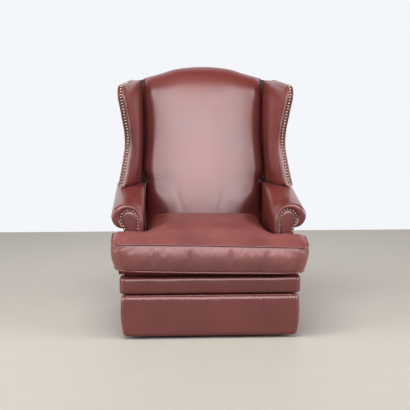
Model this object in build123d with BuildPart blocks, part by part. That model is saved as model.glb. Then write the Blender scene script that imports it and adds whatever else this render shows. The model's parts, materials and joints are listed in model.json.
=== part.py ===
from build123d import *
from math import atan, cos, radians, sin, sqrt, tan
import os

# Wingback recliner with a camel back, rolled arms, a loose T cushion and a fold-out footrest.
# Millimetres. X runs to the right seen from the front, Y to the rear, Z up.
# The origin lies on the floor at the middle of the chair's footprint.
# Forward distances are measured from the middle, so a point's Y is minus its forward distance.

# Shared sizes
overrun = 60
leaf_gap = 0.3
pin_clearance = 0.05

# Seat frame of hardwood boards
frame_half_width = 342
board = 24
frame_inner = frame_half_width - board
glide_height = 20
glide_radius = 16
glide_chamfer = 2
glide_inset = 45
frame_top = 250
toe_radius = 24
front_rail_height = 60
rail_height = 60
lower_rear_rail_bottom = 30
lower_rear_rail_height = 80
block_leg = 36
block_height = 44
block_margin = 8
rear_panel_thickness = 12
rear_panel_top = 200

# Depths, from the cushion's front edge to the rear of the arms
cushion_front = -440
band_setback = 25
band_depth = 70
band_front = cushion_front + band_setback
frame_front = band_front + band_depth
arm_rear = 285
frame_rear = arm_rear - rear_panel_thickness

# Recline pivot, the line about which the whole back turns
pivot_inset = 80
pivot_drop = 15
pivot_y = arm_rear - pivot_inset
pivot_z = frame_top - pivot_drop
pivot_radius = 6
bracket_half_length = 40
bracket_rise = 12
bracket_drop = 75
bracket_thickness = 6

# Cross rails ahead of the pivot
seat_rail_setback = 145
lower_rail_setback = 75
seat_rear_rail_y = pivot_y - seat_rail_setback
lower_rear_rail_y = pivot_y - lower_rail_setback

# Rolled arms
arm_cover = 14
arm_inside_padding = 42
arm_inner = frame_inner - arm_inside_padding
arm_outer = frame_half_width + arm_cover
arm_front = -295
facing_thickness = 18
facing_ring = 23
facing_raise = 3
facing_edge = 6
shoulder_radius = arm_outer - arm_inner
scroll_radius = 52
arm_height = 294
arm_top = frame_top + arm_height
arm_rise = 41
arm_run = 280
arm_shoulder_setback = 77
arm_shoulder_edge = 12
arm_arc_radius = arm_height + arm_rise + pivot_drop
arm_top_limit = pivot_z + arm_arc_radius
wing_gap = 5
wing_arc_radius = arm_arc_radius + wing_gap
post_depth = 48

# Springs and deck under the cushion
deck_margin = 4
deck_half_width = arm_inner - deck_margin
deck_thickness = 6
spring_count = 5
spring_wire = 4
spring_swing = 22
spring_margin = 10
spring_pitch = 2 * (deck_half_width - spring_swing - spring_margin) / (spring_count - 1)
spring_turns = 15
spring_landing = 12

# Padded band across the front
band_wrap = 26
band_half_width = frame_half_width + band_wrap
band_underlap = 6
band_bottom = frame_top - front_rail_height - band_underlap
band_lip = 4
band_roll = 14
band_corner = 22

# Reclining back, in its own leaning plane, up to a camel crest with a middle and two shoulders
lean = 12.6
crest_peak = 912
crest_rise = 59
crest_shoulder = crest_peak - crest_rise
crest_flare = 8
crest_half_width = arm_inner + crest_flare
crest_reach_shares = (0, 0.42, 0.68, 1)
crest_drop_shares = (0, 0.16, 0.6, 1)
crest_padding = 22
crest_rail_height = 78
crest_rail_start = crest_shoulder - crest_rail_height
post_margin = 14
post_width = 30
post_outer = arm_inner - post_margin
post_inner = post_outer - post_width
post_start = 20
post_lap = 37
post_end = crest_rail_start + post_lap
shaft_tip = 4
shaft_end = post_outer - shaft_tip
back_rear = 25
rail_seat = 3
rail_front = 27
bottom_rail_top = 80
mid_rail_margin = 17
mid_rail_height = 40
mid_rail_start = wing_arc_radius + mid_rail_margin
mid_rail_end = mid_rail_start + mid_rail_height
back_cover = 12
outside_back_start = -38
outside_back_margin = 12
outside_back_flare = 12
outside_back_half_width = arm_inner - outside_back_margin
outside_back_step_gap = 7
outside_back_step = wing_arc_radius + outside_back_step_gap
webbing_width = 50
webbing_thickness = 2
webbing_first = 130
webbing_count = 6
webbing_top_margin = 120
webbing_pitch = (crest_rail_start - webbing_top_margin - webbing_first) / (webbing_count - 1)
hinge_plate_thickness = 5
hinge_plate_length = 150
hinge_plate_radius = 15

# Back pad: places up the back, sides stepped from the arms' inside, edge depths and crown depths
pad_height_shares = (0.013, 0.13, 0.36, 0.66, 0.88, 1.007)
pad_side_steps = (-3, -3, -3, 3, 7, 9)
pad_edges = (60, 80, 84, 80, 72, 36)
pad_crowns = (84, 108, 122, 116, 102, 46)

# Wings, splayed outwards towards the front
splay = 12
wing_inset = 15
wing_inner_front = arm_outer - wing_inset
wing_pad_thickness = 22
wing_frame_thickness = 16
wing_cover = 8
wing_lip = 12
wing_bottom = pivot_z + wing_arc_radius
wing_nose = -8
wing_waist = 36
wing_waist_share = 0.39
wing_brow_share = 0.812
wing_top_front_share = 0.949
wing_shoulder_drop = 3.5
wing_top_step = 34
wing_top_run = 68
wing_top_dip = 6
wing_depth = 470

# Loose T cushion
cushion_ear_overhang = 54
cushion_half_width = arm_outer + cushion_ear_overhang
cushion_ear_gap = 4
cushion_ear_rear = arm_front - facing_raise - cushion_ear_gap
cushion_side_gap = 8
cushion_stem_half_width = arm_inner - cushion_side_gap
cushion_rear_gap = 87
cushion_rear = pivot_y - cushion_rear_gap
cushion_foot = 13
cushion_foot_inset = 20
cushion_boxing = 117
cushion_bulge = 10
cushion_corner = 34
cushion_inside_corner = 8
cushion_crown = 68
cushion_crown_setback = 345
cushion_side_drop = 60
cushion_rear_drop = 15
cushion_front_rise = 34
welt_radius = 4

# Footrest panel
footrest_overlap = 16
footrest_half_width = frame_half_width + footrest_overlap
footrest_bottom = 10
footrest_gap = 6
footrest_top = band_bottom - footrest_gap
footrest_front = band_front
footrest_padding = 42
footrest_board_thickness = 18
footrest_board_margin = 18
footrest_corner = 17
footrest_roll = 11
footrest_welt_radius = 3

# Footrest linkage: forward distance and height of each pivot with the footrest folded away
drive_pivot = (217, 227)
rocker_pivot = (177, 225)
drive_reach_pivot = (115, 51)
rocker_reach_pivot = (70, 54.5)
drive_control_pivot = (81, 75)
footrest_reach_pivot = (343, 160)
footrest_control_pivot = (303.5, 184)
link_thickness = 4
link_half_width = 10
stud_radius = 4
tube_radius = 7
rocker_slack = 1.6
control_slack = 0.6
link_plate_thickness = 6
link_plate_margin = 35
link_plate_drop = 75
link_plate_rise = 17
footrest_angle_length = 40

os.makedirs("parts", exist_ok=True)


def save(part, name):
    part.label = name
    export_step(part, f"parts/{name}.step")


def save_pair(right_part, name):
    save(right_part, f"{name}_right")
    save(mirror(right_part, about=Plane.YZ), f"{name}_left")


# Planes that follow the leaning back
lean_sine = sin(radians(lean))
lean_cosine = cos(radians(lean))
pivot_point = (0, pivot_y, pivot_z)
back_plane = Plane(origin=pivot_point, x_dir=(1, 0, 0), z_dir=(0, -lean_cosine, lean_sine))


def back_section_plane(height):
    origin = (0, pivot_y + height * lean_sine, pivot_z + height * lean_cosine)
    return Plane(origin=origin, x_dir=(1, 0, 0), z_dir=(0, lean_sine, lean_cosine))


# Planes that follow the right wing: local X runs to the rear along the wing, local Y is up
splay_sine = sin(radians(splay))
splay_cosine = cos(radians(splay))
wing_plane = Plane(
    origin=(wing_inner_front, 0, 0),
    x_dir=(-splay_sine, splay_cosine, 0),
    z_dir=(splay_cosine, splay_sine, 0),
)
wing_thickness = wing_pad_thickness + wing_frame_thickness + wing_cover


def mirrored_plane(plane):
    """The same face of the left wing."""
    origin = (-plane.origin.X, plane.origin.Y, plane.origin.Z)
    return Plane(origin=origin, x_dir=(splay_sine, splay_cosine, 0), z_dir=(-splay_cosine, splay_sine, 0))


# The arms climb towards the rear
arm_angle = atan(arm_rise / arm_run)
arm_direction = (0, cos(arm_angle), sin(arm_angle))
arm_pad_front = arm_front + facing_thickness
scroll_bottom = arm_top - 2 * scroll_radius
shoulder_height = arm_top - shoulder_radius
arm_length = (arm_rear - arm_pad_front + overrun) / cos(arm_angle)
arm_climb = (arm_rear - arm_pad_front) * tan(arm_angle)


def roll_underside(y):
    return scroll_bottom + (y - arm_pad_front) * tan(arm_angle)


def draw_arm_outline(bottom):
    """Outline of the rolled arm seen from the front, down to the given height."""
    with BuildLine() as outline:
        Line((arm_outer, scroll_bottom), (arm_outer, bottom))
        Line((arm_outer, bottom), (arm_inner, bottom))
        Line((arm_inner, bottom), (arm_inner, shoulder_height))
        RadiusArc((arm_inner, shoulder_height), (arm_outer, arm_top), shoulder_radius)
        ThreePointArc(
            (arm_outer, arm_top),
            (arm_outer + scroll_radius, arm_top - scroll_radius),
            (arm_outer, scroll_bottom),
        )
    return outline.edges()


# Side boards, which carry the arms, the linkage and the recline brackets
with BuildPart() as side_board:
    with BuildSketch(Plane.YZ.offset(frame_inner)) as side_outline:
        with BuildLine():
            Polyline(
                (frame_front, glide_height),
                (frame_rear, glide_height),
                (frame_rear, frame_top),
                (frame_front, frame_top),
                close=True,
            )
        make_face()
        fillet(side_outline.vertices().group_by(Axis.Y)[0].sort_by(Axis.X)[0], toe_radius)
    extrude(amount=board)
save_pair(side_board.part, "side_board")

# Front rail across the ends of the side boards
front_rail_bottom = frame_top - front_rail_height
with BuildPart() as front_rail:
    with BuildSketch(Plane.XY.offset(front_rail_bottom)):
        with Locations((0, frame_front)):
            Rectangle(2 * frame_half_width, board, align=(Align.CENTER, Align.MAX))
    extrude(amount=front_rail_height)
save(front_rail.part, "front_rail")

# Rail under the rear of the seat
with BuildPart() as seat_rear_rail:
    with BuildSketch(Plane.XY.offset(frame_top - rail_height)):
        with Locations((0, seat_rear_rail_y)):
            Rectangle(2 * frame_inner, board, align=(Align.CENTER, Align.MIN))
    extrude(amount=rail_height)
save(seat_rear_rail.part, "seat_rear_rail")

# Lower cross rail
with BuildPart() as lower_rear_rail:
    with BuildSketch(Plane.XY.offset(lower_rear_rail_bottom)):
        with Locations((0, lower_rear_rail_y)):
            Rectangle(2 * frame_inner, board, align=(Align.CENTER, Align.MIN))
    extrude(amount=lower_rear_rail_height)
save(lower_rear_rail.part, "lower_rear_rail")

# Glued corner blocks behind the seat rail and ahead of the lower rail
with BuildPart() as corner_blocks:
    block_places = (
        (seat_rear_rail_y + board, frame_top - rail_height + block_margin, 1),
        (lower_rear_rail_y, lower_rear_rail_bottom + block_margin, -1),
    )
    for rail_face, block_bottom, direction in block_places:
        for side in (-1, 1):
            with BuildSketch(Plane.XY.offset(block_bottom)):
                with BuildLine():
                    Polyline(
                        (side * frame_inner, rail_face),
                        (side * (frame_inner - block_leg), rail_face),
                        (side * frame_inner, rail_face + direction * block_leg),
                        close=True,
                    )
                make_face()
            extrude(amount=block_height)
save(corner_blocks.part, "corner_blocks")

# Padded panel across the rear of the seat frame
with BuildPart() as rear_panel:
    with BuildSketch(Plane.XZ.offset(-frame_rear)):
        with Locations((0, glide_height)):
            Rectangle(
                2 * frame_half_width,
                rear_panel_top - glide_height,
                align=(Align.CENTER, Align.MIN),
            )
    extrude(amount=-rear_panel_thickness)
save(rear_panel.part, "rear_panel")

# Four round glides under the side boards
glide_x = frame_half_width - board / 2
with BuildPart() as floor_glides:
    with BuildSketch(Plane.XY):
        with Locations(
            (glide_x, frame_front + glide_inset),
            (-glide_x, frame_front + glide_inset),
            (glide_x, frame_rear - glide_inset),
            (-glide_x, frame_rear - glide_inset),
        ):
            Circle(glide_radius)
    extrude(amount=glide_height)
    chamfer(floor_glides.edges().group_by(Axis.Z)[0], glide_chamfer)
save(floor_glides.part, "floor_glides")

# Zigzag springs from the front rail to the rear rail
spring_front = frame_front - spring_landing + spring_wire
spring_rear = seat_rear_rail_y + spring_landing
spring_step = (spring_rear - spring_front) / spring_turns
with BuildPart() as seat_springs:
    with BuildSketch(Plane.XY.offset(frame_top)):
        for place in range(spring_count):
            middle = (place - (spring_count - 1) / 2) * spring_pitch
            route = []
            for turn in range(spring_turns + 1):
                sway = spring_swing if turn % 2 else -spring_swing
                route.append((middle + sway, spring_front + turn * spring_step))
            with BuildLine():
                Polyline(*route)
            trace(line_width=spring_wire)
    extrude(amount=spring_wire)
save(seat_springs.part, "seat_springs")

# Deck cloth and its padding over the springs
band_rail_face = frame_front - board
deck_bottom = frame_top + spring_wire
deck_top = deck_bottom + deck_thickness
deck_rear = seat_rear_rail_y + board
with BuildPart() as seat_deck:
    with BuildSketch(Plane.XY.offset(deck_bottom)):
        with Locations((0, band_rail_face)):
            Rectangle(2 * deck_half_width, deck_rear - band_rail_face, align=(Align.CENTER, Align.MIN))
    extrude(amount=deck_thickness)
save(seat_deck.part, "seat_deck")

# Padded front band, wrapped round the front rail
with BuildPart() as front_band:
    with BuildSketch(Plane.XY.offset(band_bottom)) as band_outline:
        with Locations((0, frame_front)):
            Rectangle(2 * band_half_width, frame_front - band_front, align=(Align.CENTER, Align.MAX))
        fillet(band_outline.vertices().group_by(Axis.Y)[0], band_corner)
    extrude(amount=frame_top + band_lip - band_bottom)
    fillet(front_band.faces().sort_by(Axis.Z)[-1].edges().sort_by(Axis.Y)[0], band_roll)
    with BuildSketch(Plane.XY.offset(front_rail_bottom)):
        with Locations((0, frame_front)):
            Rectangle(2 * frame_half_width, board, align=(Align.CENTER, Align.MAX))
    extrude(amount=front_rail_height, mode=Mode.SUBTRACT)
    with BuildSketch(Plane.XY.offset(frame_top)):
        with Locations((0, frame_front)):
            Rectangle(2 * frame_half_width, spring_landing, align=(Align.CENTER, Align.MAX))
    extrude(amount=band_lip, mode=Mode.SUBTRACT)
save(front_band.part, "front_band")

# Arm facings: a scrolled board with a raised panel inside its padded ring
with BuildPart() as arm_facing:
    with BuildSketch(Plane.XZ.offset(-arm_pad_front)):
        make_face(draw_arm_outline(frame_top))
    extrude(amount=facing_thickness)
    fillet(arm_facing.faces().sort_by(Axis.Y)[0].edges(), facing_edge)
    with BuildSketch(Plane.XZ.offset(-arm_front)):
        make_face(draw_arm_outline(frame_top))
        offset(amount=-facing_ring, mode=Mode.REPLACE)
    extrude(amount=facing_raise)
save_pair(arm_facing.part, "arm_facing")

# Posts and top rail of each arm
front_post_y = arm_pad_front
rear_post_y = arm_rear - post_depth
for post_name, post_y in (("arm_front_post", front_post_y), ("arm_rear_post", rear_post_y)):
    with BuildPart() as arm_post:
        with BuildSketch(Plane.YZ.offset(frame_inner)):
            with BuildLine():
                Polyline(
                    (post_y, frame_top),
                    (post_y + post_depth, frame_top),
                    (post_y + post_depth, roll_underside(post_y + post_depth)),
                    (post_y, roll_underside(post_y)),
                    close=True,
                )
            make_face()
        extrude(amount=board)
    save_pair(arm_post.part, post_name)

with BuildPart() as arm_top_rail:
    with BuildSketch(Plane.YZ.offset(frame_inner)):
        with BuildLine():
            Polyline(
                (arm_pad_front, roll_underside(arm_pad_front)),
                (arm_rear, roll_underside(arm_rear)),
                (arm_rear, roll_underside(arm_rear) + board),
                (arm_pad_front, roll_underside(arm_pad_front) + board),
                close=True,
            )
        make_face()
    extrude(amount=board)
save_pair(arm_top_rail.part, "arm_top_rail")

# Shoulder that carries the padded inside of the arm up to the wing
arm_shoulder_front = arm_pad_front + arm_shoulder_setback
arm_shoulder_head = wing_nose - wing_gap
with BuildPart() as arm_shoulder:
    with BuildSketch(Plane.YZ.offset(arm_inner)):
        with BuildLine():
            Polyline(
                (arm_shoulder_front, roll_underside(arm_shoulder_front) + board),
                (arm_shoulder_head, arm_top_limit),
                (arm_rear, arm_top_limit),
                (arm_rear, roll_underside(arm_rear) + board),
                close=True,
            )
        make_face()
    extrude(amount=arm_outer - arm_inner)
    shoulder_edges = arm_shoulder.faces().sort_by(Axis.X)[0].edges()
    fillet(shoulder_edges.sort_by(Axis.Y)[:1] + shoulder_edges.sort_by(Axis.Z)[-1:], arm_shoulder_edge)

# Arm pads: the roll over the rail and the padded inside of the arm
arm_arc_reach = arm_rear - pivot_y
arm_arc_middle = arm_arc_reach / 2
arm_arc_rise = sqrt(arm_arc_radius**2 - arm_arc_reach**2)
arm_arc_middle_rise = sqrt(arm_arc_radius**2 - arm_arc_middle**2)
with BuildPart() as arm_pad:
    with BuildSketch(Plane.XZ.offset(-arm_pad_front)):
        make_face(draw_arm_outline(frame_top - arm_climb - overrun))
        with BuildLine():
            Polyline(
                (frame_inner, frame_top - arm_climb - overrun),
                (frame_inner, scroll_bottom + board),
                (frame_half_width, scroll_bottom + board),
                (frame_half_width, scroll_bottom),
                (arm_outer, scroll_bottom),
                (arm_outer, frame_top - arm_climb - overrun),
                close=True,
            )
        make_face(mode=Mode.SUBTRACT)
    extrude(amount=arm_length, dir=arm_direction)
    add(arm_shoulder.part)
    with BuildSketch(Plane.YZ.offset(arm_inner)):
        with BuildLine():
            Polyline(
                (pivot_y, pivot_z + arm_arc_radius),
                (arm_pad_front, arm_top_limit),
                (arm_pad_front, frame_top),
                (arm_rear, frame_top),
                (arm_rear, pivot_z + arm_arc_rise),
            )
            ThreePointArc(
                (arm_rear, pivot_z + arm_arc_rise),
                (pivot_y + arm_arc_middle, pivot_z + arm_arc_middle_rise),
                (pivot_y, pivot_z + arm_arc_radius),
            )
        make_face()
    extrude(amount=arm_outer + scroll_radius - arm_inner, mode=Mode.INTERSECT)
save_pair(arm_pad.part, "arm_pad")

# Outside arm panels
with BuildPart() as outside_arm:
    with BuildSketch(Plane.YZ.offset(frame_half_width)) as cover_outline:
        with BuildLine():
            Polyline(
                (frame_front, glide_height),
                (arm_rear, glide_height),
                (arm_rear, roll_underside(arm_rear)),
                (arm_pad_front, roll_underside(arm_pad_front)),
                (arm_pad_front, frame_top),
                (frame_front, frame_top),
                close=True,
            )
        make_face()
        fillet(cover_outline.vertices().group_by(Axis.Y)[0].sort_by(Axis.X)[0], toe_radius)
    extrude(amount=arm_cover)
save_pair(outside_arm.part, "outside_arm")

# Recline brackets on the side boards, each with its pivot shaft
bracket_face = frame_inner - bracket_thickness
with BuildPart() as recline_bracket:
    with BuildSketch(Plane.YZ.offset(bracket_face)) as bracket_outline:
        with BuildLine():
            Polyline(
                (pivot_y - bracket_half_length, pivot_z + bracket_rise),
                (pivot_y + bracket_half_length, pivot_z + bracket_rise),
                (pivot_y + bracket_half_length, pivot_z - bracket_drop),
                (pivot_y - bracket_half_length, pivot_z - bracket_drop),
                close=True,
            )
        make_face()
        fillet(bracket_outline.vertices(), pivot_radius)
    extrude(amount=bracket_thickness)
    with BuildSketch(Plane.YZ.offset(shaft_end)):
        with Locations((pivot_y, pivot_z)):
            Circle(pivot_radius)
    extrude(amount=bracket_face - shaft_end)
save_pair(recline_bracket.part, "recline_bracket")

# Hinge plates on the back posts
with BuildPart() as hinge_plate:
    with BuildSketch(Plane.YZ.offset(post_outer)):
        with BuildLine():
            plate_end = (
                pivot_y + hinge_plate_length * lean_sine,
                pivot_z + hinge_plate_length * lean_cosine,
            )
            CenterArc((pivot_y, pivot_z), hinge_plate_radius, 0, 360)
            CenterArc(plate_end, hinge_plate_radius, 0, 360)
        make_hull()
        with Locations((pivot_y, pivot_z)):
            Circle(pivot_radius + pin_clearance, mode=Mode.SUBTRACT)
    extrude(amount=hinge_plate_thickness)
save_pair(hinge_plate.part, "hinge_plate")

# Posts of the reclining back
with BuildPart() as back_post:
    with BuildSketch(back_plane.offset(-back_rear)):
        with Locations((post_inner, post_start)):
            Rectangle(post_outer - post_inner, post_end - post_start, align=(Align.MIN, Align.MIN))
    extrude(amount=back_rear + rail_seat)
save_pair(back_post.part, "back_post")


def draw_crest(lowered):
    """Camel crest from shoulder to shoulder, lowered by the given distance."""
    rise = crest_peak - crest_shoulder
    right_points = []
    for reach, drop in zip(crest_reach_shares, crest_drop_shares):
        right_points.append((reach * crest_half_width, crest_peak - drop * rise - lowered))
    left_points = [(-x, height) for x, height in right_points[:0:-1]]
    return Spline(*left_points, *right_points)


# Rails of the back, which end on the wing frames
wing_frame_face = wing_plane.offset(wing_pad_thickness)
left_wing_frame_face = mirrored_plane(wing_frame_face)

with BuildPart() as back_bottom_rail:
    with BuildSketch(back_plane.offset(rail_seat)):
        with Locations((0, post_start)):
            Rectangle(2 * post_outer, bottom_rail_top - post_start, align=(Align.CENTER, Align.MIN))
    extrude(amount=rail_front - rail_seat)
save(back_bottom_rail.part, "back_bottom_rail")

with BuildPart() as back_mid_rail:
    with BuildSketch(back_plane.offset(rail_seat)):
        with Locations((0, mid_rail_start)):
            Rectangle(2 * wing_inner_front, mid_rail_end - mid_rail_start, align=(Align.CENTER, Align.MIN))
    extrude(amount=rail_front - rail_seat)
    split(bisect_by=wing_frame_face, keep=Keep.BOTTOM)
    split(bisect_by=left_wing_frame_face, keep=Keep.BOTTOM)
save(back_mid_rail.part, "back_mid_rail")

with BuildPart() as crest_rail:
    with BuildSketch(back_plane.offset(rail_seat)):
        with BuildLine():
            crest = draw_crest(crest_padding)
            Polyline(
                crest @ 0,
                (-crest_half_width, crest_rail_start),
                (crest_half_width, crest_rail_start),
                crest @ 1,
            )
        make_face()
    extrude(amount=rail_front - rail_seat)
    split(bisect_by=wing_frame_face, keep=Keep.BOTTOM)
    split(bisect_by=left_wing_frame_face, keep=Keep.BOTTOM)
save(crest_rail.part, "crest_rail")

# Elastic webbing across the posts, behind the pad
with BuildPart() as back_webbing:
    with BuildSketch(back_plane.offset(rail_seat)):
        for strip in range(webbing_count):
            strip_height = webbing_first + strip * webbing_pitch
            if strip_height + webbing_width < mid_rail_start or strip_height > mid_rail_end:
                with Locations((0, strip_height)):
                    Rectangle(2 * post_outer, webbing_width, align=(Align.CENTER, Align.MIN))
    extrude(amount=webbing_thickness)
save(back_webbing.part, "back_webbing")

# Outside back, with its narrow lower part between the arms
wing_outer_face = wing_plane.offset(wing_thickness)
left_wing_outer_face = mirrored_plane(wing_outer_face)
outside_back_reach = wing_inner_front
outside_back_shoulder = crest_shoulder - crest_padding
with BuildPart() as outside_back:
    with BuildSketch(back_plane.offset(-back_rear)):
        with BuildLine():
            crest = draw_crest(crest_padding)
            Polyline(
                crest @ 0,
                (-outside_back_reach, outside_back_shoulder),
                (-outside_back_reach, outside_back_step + outside_back_flare),
                (-outside_back_half_width, outside_back_step),
                (-outside_back_half_width, outside_back_start),
                (outside_back_half_width, outside_back_start),
                (outside_back_half_width, outside_back_step),
                (outside_back_reach, outside_back_step + outside_back_flare),
                (outside_back_reach, outside_back_shoulder),
                crest @ 1,
            )
        make_face()
    extrude(amount=-back_cover)
    split(bisect_by=wing_outer_face, keep=Keep.BOTTOM)
    split(bisect_by=left_wing_outer_face, keep=Keep.BOTTOM)
save(outside_back.part, "outside_back")

# Back pad: crowned sections up the back, cut to the camel crest, with a roll over the crest rail
wing_inner_face = wing_plane.offset(-leaf_gap)
with BuildPart() as back_pad:
    for height_share, side_step, edge, crown in zip(pad_height_shares, pad_side_steps, pad_edges, pad_crowns):
        half_width = arm_inner + side_step
        with BuildSketch(back_section_plane(height_share * crest_peak)):
            with BuildLine():
                Polyline(
                    (half_width, -edge),
                    (half_width, -rail_front),
                    (-half_width, -rail_front),
                    (-half_width, -edge),
                )
                ThreePointArc((-half_width, -edge), (0, -crown), (half_width, -edge))
            make_face()
    loft()
    with BuildSketch(back_plane.offset(rail_front)):
        with BuildLine():
            crest = draw_crest(0)
            Polyline(crest @ 0, (-crest_half_width, 0), (crest_half_width, 0), crest @ 1)
        make_face()
    extrude(amount=max(pad_crowns), mode=Mode.INTERSECT)
    split(bisect_by=wing_inner_face, keep=Keep.BOTTOM)
    split(bisect_by=mirrored_plane(wing_inner_face), keep=Keep.BOTTOM)
    with BuildSketch(back_plane.offset(rail_front)):
        with BuildLine():
            crest_upper = draw_crest(0)
            crest_lower = draw_crest(crest_padding)
            Line(crest_upper @ 0, crest_lower @ 0)
            Line(crest_upper @ 1, crest_lower @ 1)
        make_face()
    extrude(amount=-(rail_front + back_rear + back_cover))
    split(bisect_by=wing_frame_face, keep=Keep.BOTTOM)
    split(bisect_by=left_wing_frame_face, keep=Keep.BOTTOM)
save(back_pad.part, "back_pad")


def draw_wing_outline(inset):
    """Side outline of a wing in its own plane, drawn in by the inset, with a bottom trimmed later."""
    wing_top_rear = pivot_z + crest_shoulder * lean_cosine - wing_shoulder_drop
    wing_height = wing_top_rear - wing_bottom
    with BuildLine() as outline:
        front_edge = Spline(
            (wing_nose + inset, wing_bottom - overrun),
            (wing_nose + inset, wing_bottom),
            (wing_waist + inset, wing_bottom + wing_waist_share * wing_height),
            (wing_nose + inset, wing_bottom + wing_brow_share * wing_height),
            (wing_nose + inset + wing_top_step, wing_bottom + wing_top_front_share * wing_height - inset),
        )
        top_edge = Spline(
            front_edge @ 1,
            (wing_waist + inset + wing_top_run, wing_top_rear - wing_top_dip - inset),
            (wing_depth, wing_top_rear - inset),
            tangents=[front_edge % 1, (1, 0)],
        )
        Polyline(top_edge @ 1, (wing_depth, wing_bottom - overrun), front_edge @ 0)
    return outline.edges()


def make_arm_clearance(lift):
    """Space that a wing leaves free for the arm as the back turns, lifted by the given margin."""
    with BuildPart() as clearance:
        with BuildSketch(Plane.YZ):
            with Locations((pivot_y, wing_bottom + lift)):
                Rectangle(wing_depth + overrun, wing_bottom, align=(Align.MAX, Align.MAX))
            with Locations((pivot_y, pivot_z)):
                Circle(wing_arc_radius + lift)
        extrude(amount=arm_outer + scroll_radius)
    return clearance.part


lip_clearance = make_arm_clearance(wing_lip)
arm_clearance = make_arm_clearance(0)

# Wing frames, inside their padding
with BuildPart() as wing_frame:
    with BuildSketch(wing_frame_face):
        make_face(draw_wing_outline(wing_lip))
    extrude(amount=wing_frame_thickness)
    add(lip_clearance, mode=Mode.SUBTRACT)
    split(bisect_by=back_plane.offset(-back_rear), keep=Keep.TOP)
save_pair(wing_frame.part, "wing_frame")

# Wing pads, which wrap the frame's edges
with BuildPart() as wing_pad:
    with BuildSketch(wing_plane):
        make_face(draw_wing_outline(0))
    extrude(amount=wing_pad_thickness + wing_frame_thickness)
    with BuildSketch(wing_frame_face):
        make_face(draw_wing_outline(wing_lip))
    extrude(amount=wing_frame_thickness, mode=Mode.SUBTRACT)
    add(arm_clearance, mode=Mode.SUBTRACT)
    split(bisect_by=back_plane.offset(rail_front), keep=Keep.TOP)
save_pair(wing_pad.part, "wing_pad")

# Outside wing panels
with BuildPart() as outside_wing:
    with BuildSketch(wing_plane.offset(wing_pad_thickness + wing_frame_thickness)):
        make_face(draw_wing_outline(0))
    extrude(amount=wing_cover)
    add(arm_clearance, mode=Mode.SUBTRACT)
    split(bisect_by=back_plane.offset(-back_rear), keep=Keep.TOP)
save_pair(outside_wing.part, "outside_wing")


def draw_cushion_outline(inset):
    """T outline of the seat cushion seen from above, drawn in by the given distance."""
    with BuildLine() as outline:
        FilletPolyline(
            (cushion_half_width - inset, cushion_front + inset),
            (cushion_half_width - inset, cushion_ear_rear - inset),
            (cushion_stem_half_width - inset, cushion_ear_rear - inset),
            (cushion_stem_half_width - inset, cushion_rear - inset),
            (-cushion_stem_half_width + inset, cushion_rear - inset),
            (-cushion_stem_half_width + inset, cushion_ear_rear - inset),
            (-cushion_half_width + inset, cushion_ear_rear - inset),
            (-cushion_half_width + inset, cushion_front + inset),
            radius=[
                cushion_corner,
                cushion_corner,
                cushion_inside_corner,
                cushion_corner,
                cushion_corner,
                cushion_inside_corner,
                cushion_corner,
                cushion_corner,
            ],
            close=True,
        )
    return outline.edges()


# Welts sewn round the cushion's two seams
cushion_seam_low = deck_top + cushion_foot
cushion_seam_high = cushion_seam_low + cushion_boxing
welts = []
for welt_name, welt_height in (("lower_welt", cushion_seam_low), ("upper_welt", cushion_seam_high)):
    with BuildPart() as welt:
        with BuildSketch(Plane.XY.offset(welt_height - welt_radius)):
            make_face(draw_cushion_outline(cushion_bulge - welt_radius))
            make_face(draw_cushion_outline(cushion_bulge), mode=Mode.SUBTRACT)
        extrude(amount=2 * welt_radius)
    save(welt.part, f"cushion_{welt_name}")
    welts.append(welt.part)

# Seat cushion: bulging boxing between its two seams, and a crowned top
cushion_bottom = deck_top + leaf_gap
crown_top = cushion_seam_high + cushion_crown
with BuildPart() as seat_cushion:
    with BuildSketch(Plane.XY.offset(cushion_seam_low)):
        make_face(draw_cushion_outline(cushion_bulge))
    with BuildSketch(Plane.XY.offset((cushion_seam_low + cushion_seam_high) / 2)):
        make_face(draw_cushion_outline(0))
    with BuildSketch(Plane.XY.offset(cushion_seam_high)):
        make_face(draw_cushion_outline(cushion_bulge))
    loft()
    with BuildSketch(Plane.XY.offset(cushion_bottom)):
        make_face(draw_cushion_outline(cushion_foot_inset))
    extrude(amount=cushion_seam_low - cushion_bottom)

with BuildPart() as cushion_top:
    with BuildSketch(Plane.XY.offset(cushion_seam_high)):
        make_face(draw_cushion_outline(cushion_bulge))
    extrude(amount=cushion_crown)
    with BuildSketch(Plane.YZ):
        with BuildLine():
            crown_line = Spline(
                (cushion_front + cushion_bulge, cushion_seam_high + leaf_gap),
                (cushion_ear_rear, cushion_seam_high + cushion_front_rise),
                (cushion_front + cushion_crown_setback, crown_top),
                (cushion_rear - cushion_bulge, crown_top - cushion_rear_drop),
            )
            Polyline(
                crown_line @ 1,
                (cushion_rear - cushion_bulge, cushion_seam_high),
                (cushion_front + cushion_bulge, cushion_seam_high),
                crown_line @ 0,
            )
        make_face()
    extrude(amount=cushion_half_width, both=True, mode=Mode.INTERSECT)
    with BuildSketch(Plane.XZ):
        with BuildLine():
            ThreePointArc(
                (-cushion_half_width, crown_top - cushion_side_drop),
                (0, crown_top),
                (cushion_half_width, crown_top - cushion_side_drop),
            )
            Polyline(
                (-cushion_half_width, crown_top - cushion_side_drop),
                (-cushion_half_width, cushion_seam_high),
                (cushion_half_width, cushion_seam_high),
                (cushion_half_width, crown_top - cushion_side_drop),
            )
        make_face()
    extrude(amount=-cushion_front, both=True, mode=Mode.INTERSECT)

with BuildPart() as whole_cushion:
    add(seat_cushion.part)
    add(cushion_top.part)
    add(welts, mode=Mode.SUBTRACT)
save(whole_cushion.part, "seat_cushion")

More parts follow.
